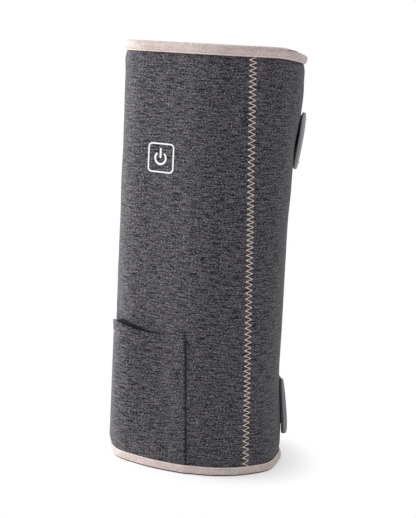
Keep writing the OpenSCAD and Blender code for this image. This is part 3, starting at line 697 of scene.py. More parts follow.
heather = heather_knit()
taupe_tape = brushed_tape()
peach_thread = sewing_thread("peach thread", (0.97, 0.83, 0.73), (0.8, 0.63, 0.52))
cream_thread = sewing_thread("cream thread", (0.94, 0.83, 0.77), (0.72, 0.6, 0.54))
hem_thread = sewing_thread("hem thread", (0.62, 0.44, 0.33), (0.36, 0.25, 0.19))
grey_thread = sewing_thread("grey thread", (0.13, 0.125, 0.135), (0.06, 0.058, 0.063))
# Black cord that is painted shade: the contact line under the lower tape, and the gaps beside the pocket
black_shade_cord = sewing_thread("black painted shade cord", (0.012, 0.012, 0.013), (0.004, 0.004, 0.005))
# Dark brown painted shade: the needle holes by the stitches and the tuck in the top tape
dark_shade_marks = sewing_thread("painted shade marks", (0.12, 0.07, 0.055), (0.05, 0.03, 0.025))
lining_plush = plush()
foam_core = open_foam()
grey_webbing = webbing_weave()
grip_grey = moulded_grip()
black_hook = hook_tape()
black_loop = loop_tape()
print_white = white_ink()
# Black painted shade for the wall inside the pocket, below its mouth
pocket_painted_shade = satin("pocket painted shade", (0.009, 0.0085, 0.01), (0.004, 0.004, 0.005), 0.95)
# Dark grey of the pad under each strap tip, partly painted shade of the tip's inner face by the wall
pad_and_shade_grey = satin("grip pad and painted shade", (0.1, 0.094, 0.106), (0.06, 0.056, 0.064), 0.8)
case_black = satin("case plastic", (0.035, 0.035, 0.038), (0.018, 0.018, 0.02))
lead_black = satin("lead sheath", (0.03, 0.03, 0.032), (0.014, 0.014, 0.015), 0.6)
board_green = solder_mask()
tin_plate = satin("tin plate", (0.72, 0.73, 0.75), (0.45, 0.46, 0.48), 0.3, 1.0)
lens_clear = satin("lens", (0.92, 0.92, 0.9), (0.8, 0.8, 0.77), 0.15)
felt_pale = carrier_felt()
wire_black = satin("wire sheath", (0.028, 0.028, 0.03), (0.012, 0.012, 0.013), 0.45)
wire_red = satin("red sheath", (0.5, 0.03, 0.022), (0.3, 0.016, 0.012), 0.4)

INSIDE = (
    (case_black, ("cable_gland", "controller_base", "controller_cover", "switch_plunger")),
    (lead_black, ("supply_lead",)),
    (board_green, ("controller_board",)),
    (tin_plate, ("tact_switch", "thermal_cutout")),
    (lens_clear, ("status_leds",)),
    (felt_pale, ("heater_carrier",)),
    (wire_black, ("heating_wire",)),
    (wire_red, ("heater_leads",)),
    (print_white, ("button_outline",)),
)
for finish, nodes in INSIDE:
    for node in nodes:
        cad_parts[node].data.materials.clear()
        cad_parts[node].data.materials.append(finish)


# Wall layers

BUTTON_LOW, BUTTON_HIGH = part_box("button_cap")
BUTTON_HALF = (BUTTON_HIGH.x - BUTTON_LOW.x) / 2 / MM
# The width of the knit that stretches round the button
MEMBRANE = 4
# The grommet's place in the pocket's back wall, and half of its window
GLAND_ALONG, GLAND_Z, GLAND_HALF = 4, 84, 3.6
# Half of the controller's window, and the heater's hollow: left, right, foot, top and depth
CASE_HALF_W, CASE_HALF_H = 16.3, 20.3
HEATER, HEATER_DEPTH = (-57, 60, 44, 216), 4.4
ROWS = round((HIGH - LOW) / CELL)
# Leaning lines beside the pocket's right edge, which the groove along it follows
POCKET_CREASES = (-0.6, 0.1, 0.9, 1.7, 2.4)


def drawing(edges, by_pocket=False, windows=()):
    """A layer of the wall drawn flat, with its windows cut"""
    bm = bmesh.new()
    pattern(bm, *edges, LOW, HIGH, rows=ROWS)
    score(bm, (), CREASE_ROWS)
    if by_pocket:
        leaning = Vector((MOUTH, POCKET_FOOT - POCKET_TOP, 0)).normalized()
        for gap in POCKET_CREASES:
            cut(bm, (POCKET_FOOT + gap, 0, 0), leaning)
    for window in windows:
        cut_window(bm, *window)
    return bm


def lay(bm, outside, thickness, rise=None):
    """Gives a drawn layer its depth and thickness, and lays it on the padded wall"""
    bmesh.ops.translate(bm, verts=bm.verts, vec=(0, 0, outside))
    thicken(bm, thickness)
    wrap(bm, rise, soft=True)


def sheet_size(edge_a, edge_b):
    """The cut size of a layer of the wall, in metres"""
    mid = (LOW + HIGH) / 2
    return ((edge_b(mid) - edge_a(mid)) * MM, (HIGH - LOW) * MM)


# The pocket's mouth against its mean height: its base, its steps as (rise, from, to), and the ear's end
MOUTH_BASE = -1.6
MOUTH_STEPS = ((7.6, -59, -27), (-6, -38, 4), (0.9, 6, 17), (3.5, 16.5, 21.5))
EAR_FALL, EAR_TURN = 1.8, (22.5, 26.5)
# Where the wall behind the pocket starts and ends, and how far the black painted shade inside the pocket
# stays inside the seams
POCKET_BACK, SHADE_INSET = (POCKET_LEFT - 4, POCKET_LEFT + 2, 27, 31), 3


def mouth(x):
    """Height of the pocket's mouth: highest where it gapes, with a rounded ear at its right end"""
    steps = sum(rise * ramp(x, a, b) for rise, a, b in MOUTH_STEPS)
    return MOUTH + MOUTH_BASE + steps - EAR_FALL * ramp(x, *EAR_TURN) ** 2


def rim_level(x):
    """Where the wall goes out of sight behind the pocket's mouth"""
    return float(mouth(min(max(x, POCKET_LEFT), POCKET_TOP))) - 0.2


def back_of_pocket(bm):
    """Bends one row of the drawing to the pocket's mouth, and paints the face below it black as painted shade
    inside the pocket
    """
    pitch = (HIGH - LOW) / ROWS
    row = LOW + round((MOUTH - LOW) / pitch) * pitch
    reach = 7
    for v in bm.verts:
        pull = float(hill(v.co.x, *POCKET_BACK)) * float(bell(v.co.y, row, reach))
        v.co.y += pull * (rim_level(v.co.x) - row)
    # Painted shade: the knit's outer faces inside the pocket and below its mouth take the black finish
    for face in bm.faces:
        spot = face.calc_center_median()
        within = POCKET_LEFT + SHADE_INSET < spot.x < pocket_right(spot.y) - SHADE_INSET
        face.material_index = int(within and spot.y < rim_level(spot.x) and spot.z > -KNIT / 2)


def front_layers():
    """Knit, foam and lining of the front, with the windows for the button and the grommet"""
    edges = (left_seam, zigzag_seam)
    gland = (GLAND_ALONG, GLAND_Z, GLAND_HALF, GLAND_HALF)
    opening = BUTTON_HALF + MEMBRANE
    knit = drawing(edges, True, [(BUTTON_X, BUTTON_Y, opening, opening), gland])
    thicken(knit, KNIT)
    back_of_pocket(knit)
    wrap(knit, soft=True)
    # The second finish is the black painted shade inside the pocket
    finishes = (heather, pocket_painted_shade)
    knit = piece("front_knit", knit, finishes, "charcoal_knit", "front", replaces=["front_outer_panel"])
    lining = drawing(edges, True)
    lay(lining, -KNIT - FOAM, LINING)
    lining = piece("front_plush", lining, lining_plush, "plush_lining", "front", replaces=["front_lining"])
    foam = front_foam(edges, gland)
    foam = piece("front_core", foam, foam_core, "foam", "front", replaces=["front_foam"])
    for cover in (knit, lining):
        sheet_size(*edges)


def front_foam(edges, gland):
    """The front's foam with its window for the controller and its hollow for the heater"""
    bm = drawing(edges, True, [(BUTTON_X, BUTTON_Y, CASE_HALF_W, CASE_HALF_H), gland])
    left, right, foot, top = HEATER
    slit = 0.1
    score(bm, (left - slit, left, right, right + slit), (foot - slit, foot, top, top + slit))
    bmesh.ops.translate(bm, verts=bm.verts, vec=(0, 0, -KNIT))
    for v in thicken(bm, FOAM):
        if left <= v.co.x <= right and foot <= v.co.y <= top:
            v.co.z = -HEATER_DEPTH
    wrap(bm, soft=True)
    return bm


def wing_layers(body, edges, rise):
    """Knit, foam and lining of a wing"""
    layers = (
        ("knit", 0, KNIT, heather, "charcoal_knit", "panel"),
        ("core", -KNIT, FOAM, foam_core, "foam", "foam"),
        ("plush", -KNIT - FOAM, LINING, lining_plush, "plush_lining", "lining"),
    )
    for name, outside, thickness, finish, slot, node in layers:
        bm = drawing(edges)
        lay(bm, outside, thickness, rise)
        piece(f"{body}_{name}", bm, finish, slot, body, True, [f"{body}_{node}"])
    for name in ("knit", "plush"):
        sheet_size(*edges)


front_layers()
wing_layers("inner_wing", (zigzag_seam, upright(INNER_END - TAPE)), tuck)
wing_layers("outer_wing", (upright(OUTER_END + TAPE), upright(GIRTH + LEFT_SEAM)), lift)


# Bindings

# A dark roll of painted shade along the tuck that the top tape has at its right bend, as points (along, below
# the edge, out)
TOP_TUCK_SHADE = ((92, 1.2, 1.05), (95, 0.95, 0.8), (98, 0.7, 0.3), (102, 0.45, -0.3), (106, 0.25, -1.1))
TUCK_SHADE_R = 0.29
# The stitches' distance from the free edge of the tape, and how far they stand off the wall
STITCH_IN, STITCH_OUT = 0.4, 0.55
# How much of each end of a seam stays free of thread
SEAM_ALLOWANCE = 0.3


def fold_ring(tall, drop):
    """The section of the folded tape, as points (out, distance from its crest), from the fold's shape"""
    reach = 4.9
    arc = [math.radians(15 * k) for k in range(13)]
    outer = [(-0.1, tall), (0.45, tall - 0.8), (0.95, tall - 1.9), (1.3, tall - 3.1)]
    over = [(-WALL / 2 + reach * math.cos(t), TAPE / 2 + drop(t)) for t in arc]
    inner = [(-WALL - out, down) for out, down in outer[::-1]]
    line = np.array([*outer, *over, *inner])
    ahead = np.gradient(line, axis=0)
    side = np.stack([ahead[:, 1], -ahead[:, 0]], 1)
    side = side / np.linalg.norm(side, axis=1)[:, None] * TAPE / 2
    return [*(line - side), *(line + side)[::-1]]


def edge_ring(tall, at_top):
    """The section at the top or the bottom edge, as points (out, level)"""
    rounded, undercut, keel, least = 2.6, 1.25, 0.8, 0.02

    def fold(t):
        """How far the fold runs from its crest: round at the top, a blunt keel at the foot"""
        return rounded * (1 - math.sin(t)) if at_top else undercut * abs(math.cos(t)) ** keel

    ring = [(out, max(least, drop)) for out, drop in fold_ring(tall, fold)]
    return [(out, HEIGHT - drop if at_top else drop) for out, drop in ring]


def caught(along):
    """How far the lower binding is pushed out by the pocket that it catches"""
    return hill(along, POCKET_LEFT - 7, POCKET_LEFT + 1, POCKET_FOOT - 2, POCKET_FOOT + 7)


def edge_stitches(bm, edge_a, edge_b, level, out, way):
    """A row of pale stitches along the tape's edge, with a dark mark at the needle hole inside each of them:
    painted shade of the hole
    """
    long, pitch, thick, slant, arch = 1.75, 2.1, 0.43, 0.18, 0.25
    mark, proud, lean = 0.24, 0.12, 0.3
    a, b = edge_a(level) + SEAM_ALLOWANCE, edge_b(level) - SEAM_ALLOWANCE
    count = round((b - a) / pitch)
    side = math.copysign(1, out)
    far = out + side * proud
    for k in range(count):
        x = a + (k + 0.5) * (b - a) / count
        hole = x - long / 2
        route = [
            (x + long / 2 * s, level + way * slant * s, out - side * arch * s * s)
            for s in (-1, -0.6, 0, 0.6, 1)
        ]
        roll(bm, route, thick)
        # The dark mark is painted shade of the needle hole
        route = [(hole + lean * t, level + way * t, far + side * lean * t) for t in (0.4, 0.8, 1.2)]
        roll(bm, route, mark, 5, index=1)


def foot_shade_cord(bm, edge_a, edge_b):
    """A black cord under the fold of the lower tape, on which the brace stands: painted shade of the line
    where the tape meets the floor
    """
    radius, out, raised = 0.5, 0.35, 0.05
    a, b = edge_a(radius) + SEAM_ALLOWANCE, edge_b(radius) - SEAM_ALLOWANCE
    steps = round((b - a) / CELL)
    for depth in (out, -WALL - out):
        route = [(a + (b - a) * k / steps, radius + raised, depth) for k in range(steps + 1)]
        roll(bm, route, radius, index=2)


def edge_binding(body, edges, at_top, rise=None, bends=True):
    """The folded tape along one edge of a body, with its row of stitches outside and inside"""
    tall, where = (TOP_TAPE, "top") if at_top else (FOOT_TAPE, "bottom")
    tape, thread = bmesh.new(), bmesh.new()
    band(tape, *edges, edge_ring(tall, at_top))
    level, way = (HEIGHT - tall + STITCH_IN, 1) if at_top else (tall - STITCH_IN, -1)
    for out in (STITCH_OUT, -WALL - STITCH_OUT):
        edge_stitches(thread, *edges, level, out, way)
    if not at_top:
        foot_shade_cord(thread, *edges)
    # Painted shade along the tuck at the right bend of the inner wing's top tape
    if body == "inner_wing" and at_top:
        roll(thread, [(x, HEIGHT - down, out) for x, down, out in TOP_TUCK_SHADE], TUCK_SHADE_R, index=1)
    if body == "front" and not at_top:
        for v in [*tape.verts, *thread.verts]:
            v.co.z += float(caught(v.co.x)) * min(1, max(0, (v.co.z + WALL / 2) / (WALL / 2)))
    wrap(tape, rise)
    wrap(thread, rise, mapped=False)
    node = f"{body}_{where}_binding"
    piece(f"{body}_{where}_tape", tape, taupe_tape, "binding_tape", body, bends, [node])
    finishes = (cream_thread, dark_shade_marks, black_shade_cord)
    piece(f"{body}_{where}_stitches", thread, finishes, "binding_tape", body, bends)


def end_binding(body, end, way, rise):
    """The tape on the upright end of a wing, between the two long tapes"""
    overlap, leg, gap = 0.6, 7, 0.04
    low, high = FOOT_TAPE - overlap, HEIGHT - TOP_TAPE + overlap
    outer = [(leg, 0.02), (leg - 0.4, TAPE - 0.2), (leg - 1, TAPE), (1.6, TAPE), (0.6, TAPE - 0.25), (0.1, 0)]
    inner = [(x, -WALL - out) for x, out in outer[::-1]]
    back = [(x, -WALL - gap) for x in (leg - 0.6, TAPE)] + [(x, -gap) for x in (TAPE, leg - 0.6)]
    ring = [(end + way * x, out) for x, out in [*outer, *inner, *back]]
    tape, thread = bmesh.new(), bmesh.new()
    tube(tape, ring, ROWS, lambda share, spot: (spot[0], low + share * (high - low), spot[1]))
    x = end + way * (leg - 1.1)
    inset, pitch, half, thick, arch = 2, 2.5, 0.87, 0.2, 0.12
    room = high - low - 2 * inset
    count = round(room / pitch)
    for k in range(count):
        y = low + inset + (k + 0.5) * room / count
        for out, sign in ((TAPE, 1), (-WALL - TAPE, -1)):
            route = [(x, y + half * s, out + sign * arch * (1 - s * s)) for s in (-1, -0.5, 0, 0.5, 1)]
            roll(thread, route, thick)
    wrap(tape, rise)
    wrap(thread, rise, mapped=False)
    piece(f"{body}_end_tape", tape, taupe_tape, "binding_tape", body, False, [f"{body}_end_binding"])
    piece(f"{body}_end_stitches", thread, peach_thread, "binding_tape", body)


for at_top in (True, False):
    edge_binding("front", (left_seam, zigzag_seam), at_top, bends=False)
    edge_binding("inner_wing", (zigzag_seam, upright(INNER_END)), at_top, tuck)
    edge_binding("outer_wing", (upright(OUTER_END), upright(GIRTH + LEFT_SEAM)), at_top, lift)
end_binding("inner_wing", INNER_END, -1, tuck)
end_binding("outer_wing", OUTER_END, 1, lift)


# Zigzag seams

# The zigzag's pitch, how much it varies, and over which height it does so
FEED, FEED_SWING, FEED_FROM, FEED_WAVE = 4.1, 0.36, 240, 114
ZIGZAG_HALF, ZIGZAG_R, KNOT_R = 2.5, 0.27, 0.42


def feed(level):
    """How far the cloth moved for one to and fro of the needle, which wasn't even"""
    return FEED + FEED_SWING * math.cos(2 * math.pi * (level - FEED_FROM) / FEED_WAVE)


def zigzag(name, seam, body):
    """Thread that goes to and fro over a seam, down through the knit at each turn, with knots at the left"""
    arch, sunk = 0.36, 0.14
    bm = bmesh.new()
    y0, side = HEIGHT - TOP_TAPE - 0.4, 1
    while y0 > FOOT_TAPE + 2:
        y1, side = y0 - feed(y0) / 2, -side
        route = []
        for s in (0, 0.12, 0.3, 0.5, 0.7, 0.88, 1):
            y = y0 + s * (y1 - y0)
            height = arch * (1 - (2 * s - 1) ** 4) - sunk
            route.append((float(seam(y)) + side * ZIGZAG_HALF * (2 * s - 1), y, height))
        roll(bm, route, ZIGZAG_R)
        if side < 0:
            x = float(seam(y1)) - ZIGZAG_HALF
            steps = (-0.3, 0.1, 0.5, 0.9, 1.2)
            roll(bm, [(x + t, y1 - 0.2 * t, 0.2 - 0.3 * abs(t - 0.4)) for t in steps], KNOT_R)
        y0 = y1
    wrap(bm, soft=True, mapped=False)
    piece(name, bm, peach_thread, "binding_tape", body, True)


zigzag("zigzag_thread", zigzag_seam, "inner_wing")
zigzag("hidden_zigzag_thread", left_seam, "outer_wing")


# Pocket

POCKET_LOW, POCKET_T, POCKET_KNIT = 2, 1.35, 1.2
# The pouch: how far it stands off the wall, how much more at the rim, and where it rises and fades
GAPE, GAPE_AT_RIM = 4.6, 1.9
POUCH_RISE, POUCH_FADE, POUCH_FOOT = (-46, -24), (-22, 22), (4, 34)
# The folded hem: its height and thickness, the dent along its stitches and the roll of the rim
HEM, HEM_T, HEM_DENT, RIM_ROLL = 9, 0.35, 0.4, 0.5
HEM_STITCHES = 36


def pouch(x, v, level):
    """How far the pocket stands off the wall: most where the wall starts to turn to the left"""
    fade = (1 - ramp(x, *POUCH_FADE)) ** (1 + 0.6 * v)
    return ramp(x, *POUCH_RISE) * fade * ramp(level, *POUCH_FOOT) * (GAPE + GAPE_AT_RIM * v**4)


def rim_at(u):
    """The mouth's height at u, which runs from 0 at the pocket's left edge to 1 at its right edge"""
    return float(mouth(POCKET_LEFT + u * (POCKET_TOP - POCKET_LEFT)))


def on_pocket(u, v, out=0):
    """A point of the pocket as drawn: v runs from 0 at its foot to 1 at its mouth"""
    top = rim_at(u)
    level = POCKET_LOW + v * (top - POCKET_LOW)
    x = POCKET_LEFT + u * (pocket_right(level) - POCKET_LEFT)
    hem = top - level
    fold = HEM_T * ramp(-hem, -HEM, -HEM + 2) - HEM_DENT * float(bell(hem, HEM, 1.1))
    thin = 0.5 * (1 - ramp(level, 4, 16))
    pucker = 0.22 * math.sin(x * 0.9 + 2 * math.sin(x * 0.23)) * float(bell(level, 9, 6))
    edge = 0.3 * float(bell(x, pocket_right(level), 1.1))
    rim = RIM_ROLL * float(bell(hem, 0.9, 1.1))
    lift_off = float(pouch(x, v, level)) + POCKET_T - thin + fold + pucker + rim - edge
    return Vector((x, level, POCKET_GAP + lift_off + out))


def pocket():
    """The knit pocket: its hem is folded in and sewn, and its mouth gapes"""
    bm, thread = bmesh.new(), bmesh.new()
    grid(bm, 76, 64, on_pocket)
    thicken(bm, POCKET_KNIT)
    soften(bm, 0.5, 3)
    first, span, half = 0.015, 0.96, 0.26
    for k in range(HEM_STITCHES):
        route = []
        for s in (-half, -half / 2, 0, half / 2, half):
            u = first + span * (k + 0.5 + s) / HEM_STITCHES
            seam = 1 - HEM / (rim_at(u) - POCKET_LOW)
            route.append(on_pocket(u, seam, 0.1 - 0.12 * (s / half) ** 2))
        roll(thread, route, 0.22)
    wrap(bm)
    wrap(thread, mapped=False)
    made = piece("pocket_knit", bm, heather, "charcoal_knit", "front", replaces=["pocket_panel"])
    piece("pocket_hem_stitches", thread, hem_thread, "binding_tape", "front")
    # Each side of the pocket gets a black cord in its groove: painted shade of the gap between the pocket and
    # the wall
    for name, edge, gap in (("right", pocket_right, 0.75), ("left", upright(POCKET_LEFT), -0.7)):
        cord = bmesh.new()
        top = rim_at(1 if gap > 0 else 0) - 1
        route = [(edge(level) + gap, level, -0.25) for level in np.linspace(3, top, 60)]
        roll(cord, route, 0.45, 8)
        wrap(cord, mapped=False)
        piece(f"pocket_{name}_seam", cord, black_shade_cord, "charcoal_knit", "front")


pocket()


# Button

# The knit of the face is thinner than the rest by its travel, so that it stays off the case
TRAVEL = 0.65


def button():
    """The knit over the button: a face that travels, and four strips round it"""
    face = bmesh.new()
    low, high = BUTTON_Y - BUTTON_HALF, BUTTON_Y + BUTTON_HALF
    pattern(face, upright(BUTTON_X - BUTTON_HALF), upright(BUTTON_X + BUTTON_HALF), low, high, 1.6)
    thicken(face, KNIT - TRAVEL)
    wrap(face)
    piece("button_face", face, heather, "charcoal_knit", "power_button", replaces=["button_cap"])
    centre = Vector((BUTTON_X, BUTTON_Y, 0))
    for k, name in enumerate(("top", "left", "bottom", "right")):
        strip = bmesh.new()
        grid(strip, 14, 4, lambda s, t: Vector((2 * s - 1, 1, 0)) * (BUTTON_HALF + t * MEMBRANE))
        thicken(strip, KNIT)
        turn = Matrix.Rotation(k * math.pi / 2, 3, "Z")
        bmesh.ops.rotate(strip, verts=strip.verts, cent=(0, 0, 0), matrix=turn)
        bmesh.ops.translate(strip, verts=strip.verts, vec=centre)
        wrap(strip)
        made = piece(f"button_{name}_stretch", strip, heather, "charcoal_knit", None)
        ends = [centre + turn @ Vector((0, far, 0)) for far in (BUTTON_HALF, BUTTON_HALF + MEMBRANE)]
        start, end = (point(p.x, p.y) for p in ends)
        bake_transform(made)


button()


def power_sign():
    """The broken ring and stroke of a power button, printed proud of the knit"""
    centre_x, centre_y = BUTTON_X - 0.35, BUTTON_Y - 0.2
    ring_r, line, raised = 4.4, 1.45, 0.2
    stroke_foot, stroke_long = 0.7, 6.1
    bm = bmesh.new()
    gap = math.radians(46)
    arc = [(math.pi / 2 + gap) + (2 * math.pi - 2 * gap) * k / 40 for k in range(41)]
    ring = [(ring_r * math.cos(t), ring_r * math.sin(t)) for t in arc]
    stroke = [(0, stroke_foot + stroke_long * k / 12) for k in range(13)]
    for line_points in (ring, stroke):
        ribbon(bm, [Vector((x, y)) for x, y in line_points], line / 2)
    thicken(bm, raised)
    soften(bm, 0.07)
    bmesh.ops.translate(bm, verts=bm.verts, vec=(centre_x, centre_y, raised))
    wrap(bm)
    piece("power_sign", bm, print_white, "white_print", "power_button")


def ribbon(bm, route, half):
    """A flat ribbon along a route, with round ends"""
    heads = 5
    start, end = (route[0] - route[1]).normalized(), (route[-1] - route[-2]).normalized()
    caps = [math.radians(90 * k / heads) for k in range(heads)]
    points = [(route[0] + start * half * math.cos(t), half * math.sin(t)) for t in caps]
    points += [(p, half) for p in route]
    points += [(route[-1] + end * half * math.cos(t), half * math.sin(t)) for t in caps[::-1]]
    steps = len(points) - 1

    def place(s, t):
        i = round(s * steps)
        ahead = (points[min(i + 1, steps)][0] - points[max(i - 1, 0)][0]).normalized()
        spot = points[i][0] + Vector((-ahead.y, ahead.x)) * (2 * t - 1) * points[i][1]
        return (spot.x, spot.y, 0)

    bmesh.ops.remove_doubles(bm, verts=grid(bm, steps, 2, place), dist=WELD)


power_sign()


# Straps

STRAP_W, STRAP_T = 38, 1.8
STRAP_HINGE, ROOT_END, STAND = 176, 212, 1.9
TIP_W, TIP_T, TIP_PAD, TIP_END, TIP_ROOT, TIP_CORNER = 44, 3.5, 1.5, 122, 132, 8
# The tip's crown towards its corners, and its grooves: depth, pitch, and how far they stay inside
TIP_CROWN, TIP_GROOVE, GROOVE_PITCH, GROOVE_INSET, GROOVE_ENDS = 0.7, 0.22, 2, 1, 4
# The hook pad's end, thickness and margin; it hangs under the webbing, and the tip's foot with it
HOOKS_END, HOOKS_T, HOOKS_MARGIN, UNDER = 158, 1.15, 2, 1.2
# Each strap: the height of its centre line, how far its tip leans off the wall below and above it,
# and how far its lower end sinks to the wall
STRAPS = {"upper_strap": (252.5, -0.5, -2.0, 0.9), "lower_strap": (43, 1.6, 0.4, 0)}


def strap_under(along):
    """How far outside the wall the inner face of the webbing runs"""
    return STAND + (STACK + TAPE + 0.1 - STAND) * ramp(along, 138, OUTER_END)


def root_under(along):
    """How far outside the wall the sewn end of a strap lies"""
    return lift(along) + TAPE * (1 - ramp(along, 182.6, 185)) + 0.1


def tip_half(along):
    """Half of the tip's height, which rounds off towards its end"""
    e = max(0, TIP_CORNER - (along - TIP_END))
    return TIP_W / 2 - TIP_CORNER + math.sqrt(max(0, TIP_CORNER**2 - e * e))


def flat_strip(a, b, level, half, thickness, rise, cell=1.5, edge=0.5):
    """A strip round the wall with rounded edges, its inner face at rise"""
    bm = bmesh.new()
    pattern(bm, upright(a), upright(b), level - half, level + half, cell)
    bmesh.ops.translate(bm, verts=bm.verts, vec=(0, 0, thickness))
    thicken(bm, thickness)
    soften(bm, edge)
    wrap(bm, rise)
    return bm


def strap(body, level, low_lean, high_lean, sink):
    """A strap: sewn root, webbing, hook pad and moulded tip"""
    start, half = point(STRAP_HINGE, level), STRAP_W / 2
    along_wall = (point(STRAP_HINGE + 0.5, level) - point(STRAP_HINGE - 0.5, level)).normalized()
    BENDS[body] = ("outer_wing", start, start - along_wall * BEND_ZONE * MM)
    root = flat_strip(STRAP_HINGE, ROOT_END, level, half, STRAP_T, root_under)
    piece(f"{body}_sewn_end", root, grey_webbing, "grey_webbing", "outer_wing", replaces=[f"{body}_root"])
    webbing = flat_strip(TIP_ROOT - 2, STRAP_HINGE, level, half, STRAP_T, strap_under)
    piece(f"{body}_band", webbing, grey_webbing, "grey_webbing", body, True, [f"{body}_webbing"])
    pad = (TIP_ROOT + 1, HOOKS_END, level, half - HOOKS_MARGIN, HOOKS_T)
    pad = flat_strip(*pad, lambda a: strap_under(a) - UNDER, edge=0.3)
    piece(f"{body}_hooks", pad, black_hook, "hook_tape", body, False, [f"{body}_hook_pad"])
    strap_tip(body, level, low_lean, high_lean, sink)
    sewn_box(body, level)


def strap_tip(body, level, low_lean, high_lean, sink):
    """The moulded grip, rounded all over, with shallow grooves to hold and a dark pad under it, whose dark
    grey is partly painted shade of the tip's inner face by the wall
    """
    bm = bmesh.new()

    def place(s, t):
        x = TIP_END + (TIP_ROOT - TIP_END) * (1 - math.cos(s * math.pi / 2))
        return (x, level + (2 * t - 1) * tip_half(x), TIP_T)

    grid(bm, 20, 44, place)
    thicken(bm, TIP_T)
    cut(bm, (0, 0, TIP_PAD), (0, 0, 1))
    first = TIP_END + GROOVE_INSET
    for v in bm.verts:
        crown = TIP_CROWN * ((v.co.y - level) / (TIP_W / 2)) ** 4
        grooved = v.co.x > first and abs(v.co.y - level) < TIP_W / 2 - GROOVE_ENDS
        wave = 0.5 - 0.5 * math.cos(2 * math.pi * (v.co.x - first) / GROOVE_PITCH)
        if v.co.z > TIP_T - 0.5:
            v.co.z -= crown + TIP_GROOVE * wave * grooved
    soften(bm, 0.8, 3)
    # The layer under TIP_PAD is the dark pad, partly painted shade
    for face in bm.faces:
        face.material_index = int(face.calc_center_median().z < TIP_PAD)
    for v in bm.verts:
        share = (v.co.y - level) / TIP_W + 0.5
        free = float(1 - ramp(v.co.x, TIP_END, TIP_ROOT))
        lean = low_lean + (high_lean - low_lean) * share
        v.co.z += free * (lean * min(1, v.co.z / TIP_T) - sink * (1 - share))
    wrap(bm, lambda a: 0 * a + STAND - UNDER)
    piece(f"{body}_grip", bm, (grip_grey, pad_and_shade_grey), "grey_grip", body, replaces=[f"{body}_tip"])


def sewn_box(body, level):
    """The box and cross of stitches that holds a strap's root"""
    bm = bmesh.new()
    from_hinge, margin, pitch, thick = 10, 3, 2.6, 0.22
    a, b, half = STRAP_HINGE + from_hinge, ROOT_END - margin, STRAP_W / 2 - margin
    corners = [(a, -half), (b, -half), (b, half), (a, half), (a, -half)]
    runs = [*zip(corners, corners[1:]), (corners[0], corners[2]), (corners[1], corners[3])]
    for (x0, y0), (x1, y1) in runs:
        count = round(math.hypot(x1 - x0, y1 - y0) / pitch)
        for k in range(count):
            route = []
            for s in (0.15, 0.32, 0.5, 0.68, 0.85):
                t = (k + s) / count
                height = 0.1 + 0.12 * (1 - ((s - 0.5) / 0.35) ** 2)
                route.append((x0 + t * (x1 - x0), level + y0 + t * (y1 - y0), height + STRAP_T))
            roll(bm, route, thick)
    wrap(bm, root_under, mapped=False)
    piece(f"{body}_box_stitches", bm, grey_thread, "grey_webbing", "outer_wing")


for body, place in STRAPS.items():
    strap(body, *place)


# Hook and loop strips in the overlap

CLOSURE_MARGIN, CLOSURE_T, CLOSURE_ENDS = 9, 0.8, 14


def closure(name, body, finish, slot, rise):
    """An upright strip of hook or loop tape on one side of the overlap"""
    a, b, half = OUTER_END + CLOSURE_MARGIN, INNER_END - CLOSURE_MARGIN, HEIGHT / 2 - CLOSURE_ENDS
    strip = flat_strip(a, b, HEIGHT / 2, half, CLOSURE_T, rise, 2, 0.3)
    piece(f"{body}_{name}s", strip, finish, slot, body, replaces=[f"{body}_{name}_strip"])


closure("loop", "inner_wing", black_loop, "loop_tape", lambda a: tuck(a) + 0.1)
closure("hook", "outer_wing", black_hook, "hook_tape", lambda a: lift(a) - WALL - 0.9)


# Camera: the photograph's, fitted to the outline of the brace

PHOTO_W, PHOTO_H = 416, 518
CAMERA_AZIMUTH, CAMERA_PITCH, CAMERA_ROLL = 27.37, 10.31, 3.03
CAMERA_PLACE = (426, -742.98, 320)
FOCUS_PX, CENTRE_X, CENTRE_Y = 1172.88, 207.87, 257.03


def camera():
    data = bpy.data.cameras.new("camera")
    data.sensor_width = 36
    data.lens = FOCUS_PX / PHOTO_H * data.sensor_width
    data.shift_x = (PHOTO_W / 2 - CENTRE_X) / PHOTO_H
    data.shift_y = (CENTRE_Y - PHOTO_H / 2) / PHOTO_H
    turn = Matrix.Identity(4)
    for angle, axis in ((CAMERA_AZIMUTH, "Z"), (90 - CAMERA_PITCH, "X"), (CAMERA_ROLL, "Z")):
        turn = turn @ Matrix.Rotation(math.radians(angle), 4, axis)
    place = Vector(CAMERA_PLACE) - Vector((SHIFT_X, SHIFT_Y, 0))
    made = put("camera", data)
    made.matrix_world = Matrix.Translation(place * MM) @ turn
    bpy.context.scene.camera = made


camera()


# Light and floor

# The light all round, the share of the floor that stays white near the object, and its albedo
AMBIENT, FLOOR_GLOW, FLOOR_WHITE = 0.64, 0.1, 0.92
# The middle of the floor's shade, and where it starts and stops to fade, in halves of the object
SHADE_MIDDLE, SHADE_FROM, SHADE_TO = (0.16, 0.1, 0), 0.5, 1.3


def lamp(name, place, size, watts):
    data = bpy.data.lights.new(name, "AREA")
    data.size, data.energy = size, watts
    target = Vector((0, 0, 0.15))
    made = put(name, data)
    made.matrix_world = Matrix.Translation(place)
    made.rotation_mode = "QUATERNION"
    made.rotation_quaternion = (target - Vector(place)).to_track_quat("-Z", "Y")


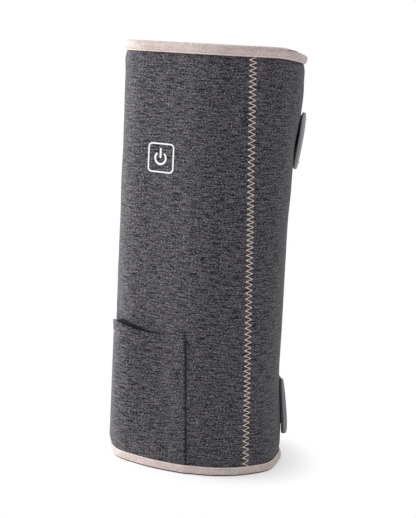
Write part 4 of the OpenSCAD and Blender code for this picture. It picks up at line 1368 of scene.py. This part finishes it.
lamp("key", (-1.5, -0.45, 0.75), 0.9, 35)
lamp("back", (0.2, 1.4, 1.3), 1.0, 3)


def surroundings():
    """Even light round the object, which the camera sees as white"""
    world = bpy.data.worlds.new("studio")
    world.use_nodes = True
    tree = world.node_tree
    path = tree.nodes.new("ShaderNodeLightPath")
    tree.nodes["Background"].inputs["Color"].default_value = (1, 1, 1, 1)
    strength = tree.nodes["Background"].inputs["Strength"]
    for ray in ("Is Camera Ray", "Is Transmission Ray"):
        larger = tree.nodes.new("ShaderNodeMath")
        larger.operation = "MAXIMUM"
        tree.links.new(path.outputs[ray], larger.inputs[0])
        tree.links.new(larger.outputs[0], strength)
        strength = larger.inputs[1]
    strength.default_value = AMBIENT
    bpy.context.scene.world = world


def floor():
    """A white floor that keeps the soft shadow"""
    bm = bmesh.new()
    bmesh.ops.create_circle(bm, cap_ends=True, segments=96, radius=12)
    mesh = bpy.data.meshes.new("floor")
    bm.to_mesh(mesh)
    bm.free()
    white = Finish("white floor", {"Roughness": 0.9})
    seen = Signal(white, white.node("LightPath").outputs["Is Camera Ray"])
    half = (cad_box[1] - cad_box[0]) / 2
    place = white.node("TexCoord").outputs["Object"]
    for operation, value in (("DIVIDE", (half.x, half.y, 1)), ("SUBTRACT", SHADE_MIDDLE)):
        place = white.node("VectorMath", {"operation": operation}, {0: place, 1: value}).outputs[0]
    distance = Signal(white, white.node("VectorMath", {"operation": "LENGTH"}, {0: place}).outputs["Value"])
    share = distance.between(SHADE_FROM, SHADE_TO) * (1 - FLOOR_GLOW) + FLOOR_GLOW
    glow = white.node("Emission", None, {"Color": (1, 1, 1, 1), "Strength": 1})
    mixed = white.node("MixShader", None, {0: share * seen, 1: white.shader.outputs[0], 2: glow.outputs[0]})
    white.tree.links.new(mixed.outputs[0], white.tree.nodes["Material Output"].inputs["Surface"])
    mesh.materials.append(white.show((FLOOR_WHITE, FLOOR_WHITE, FLOOR_WHITE, 1)))
    put("floor", mesh)


surroundings()
floor()

bpy.context.scene.view_settings.view_transform = "Standard"
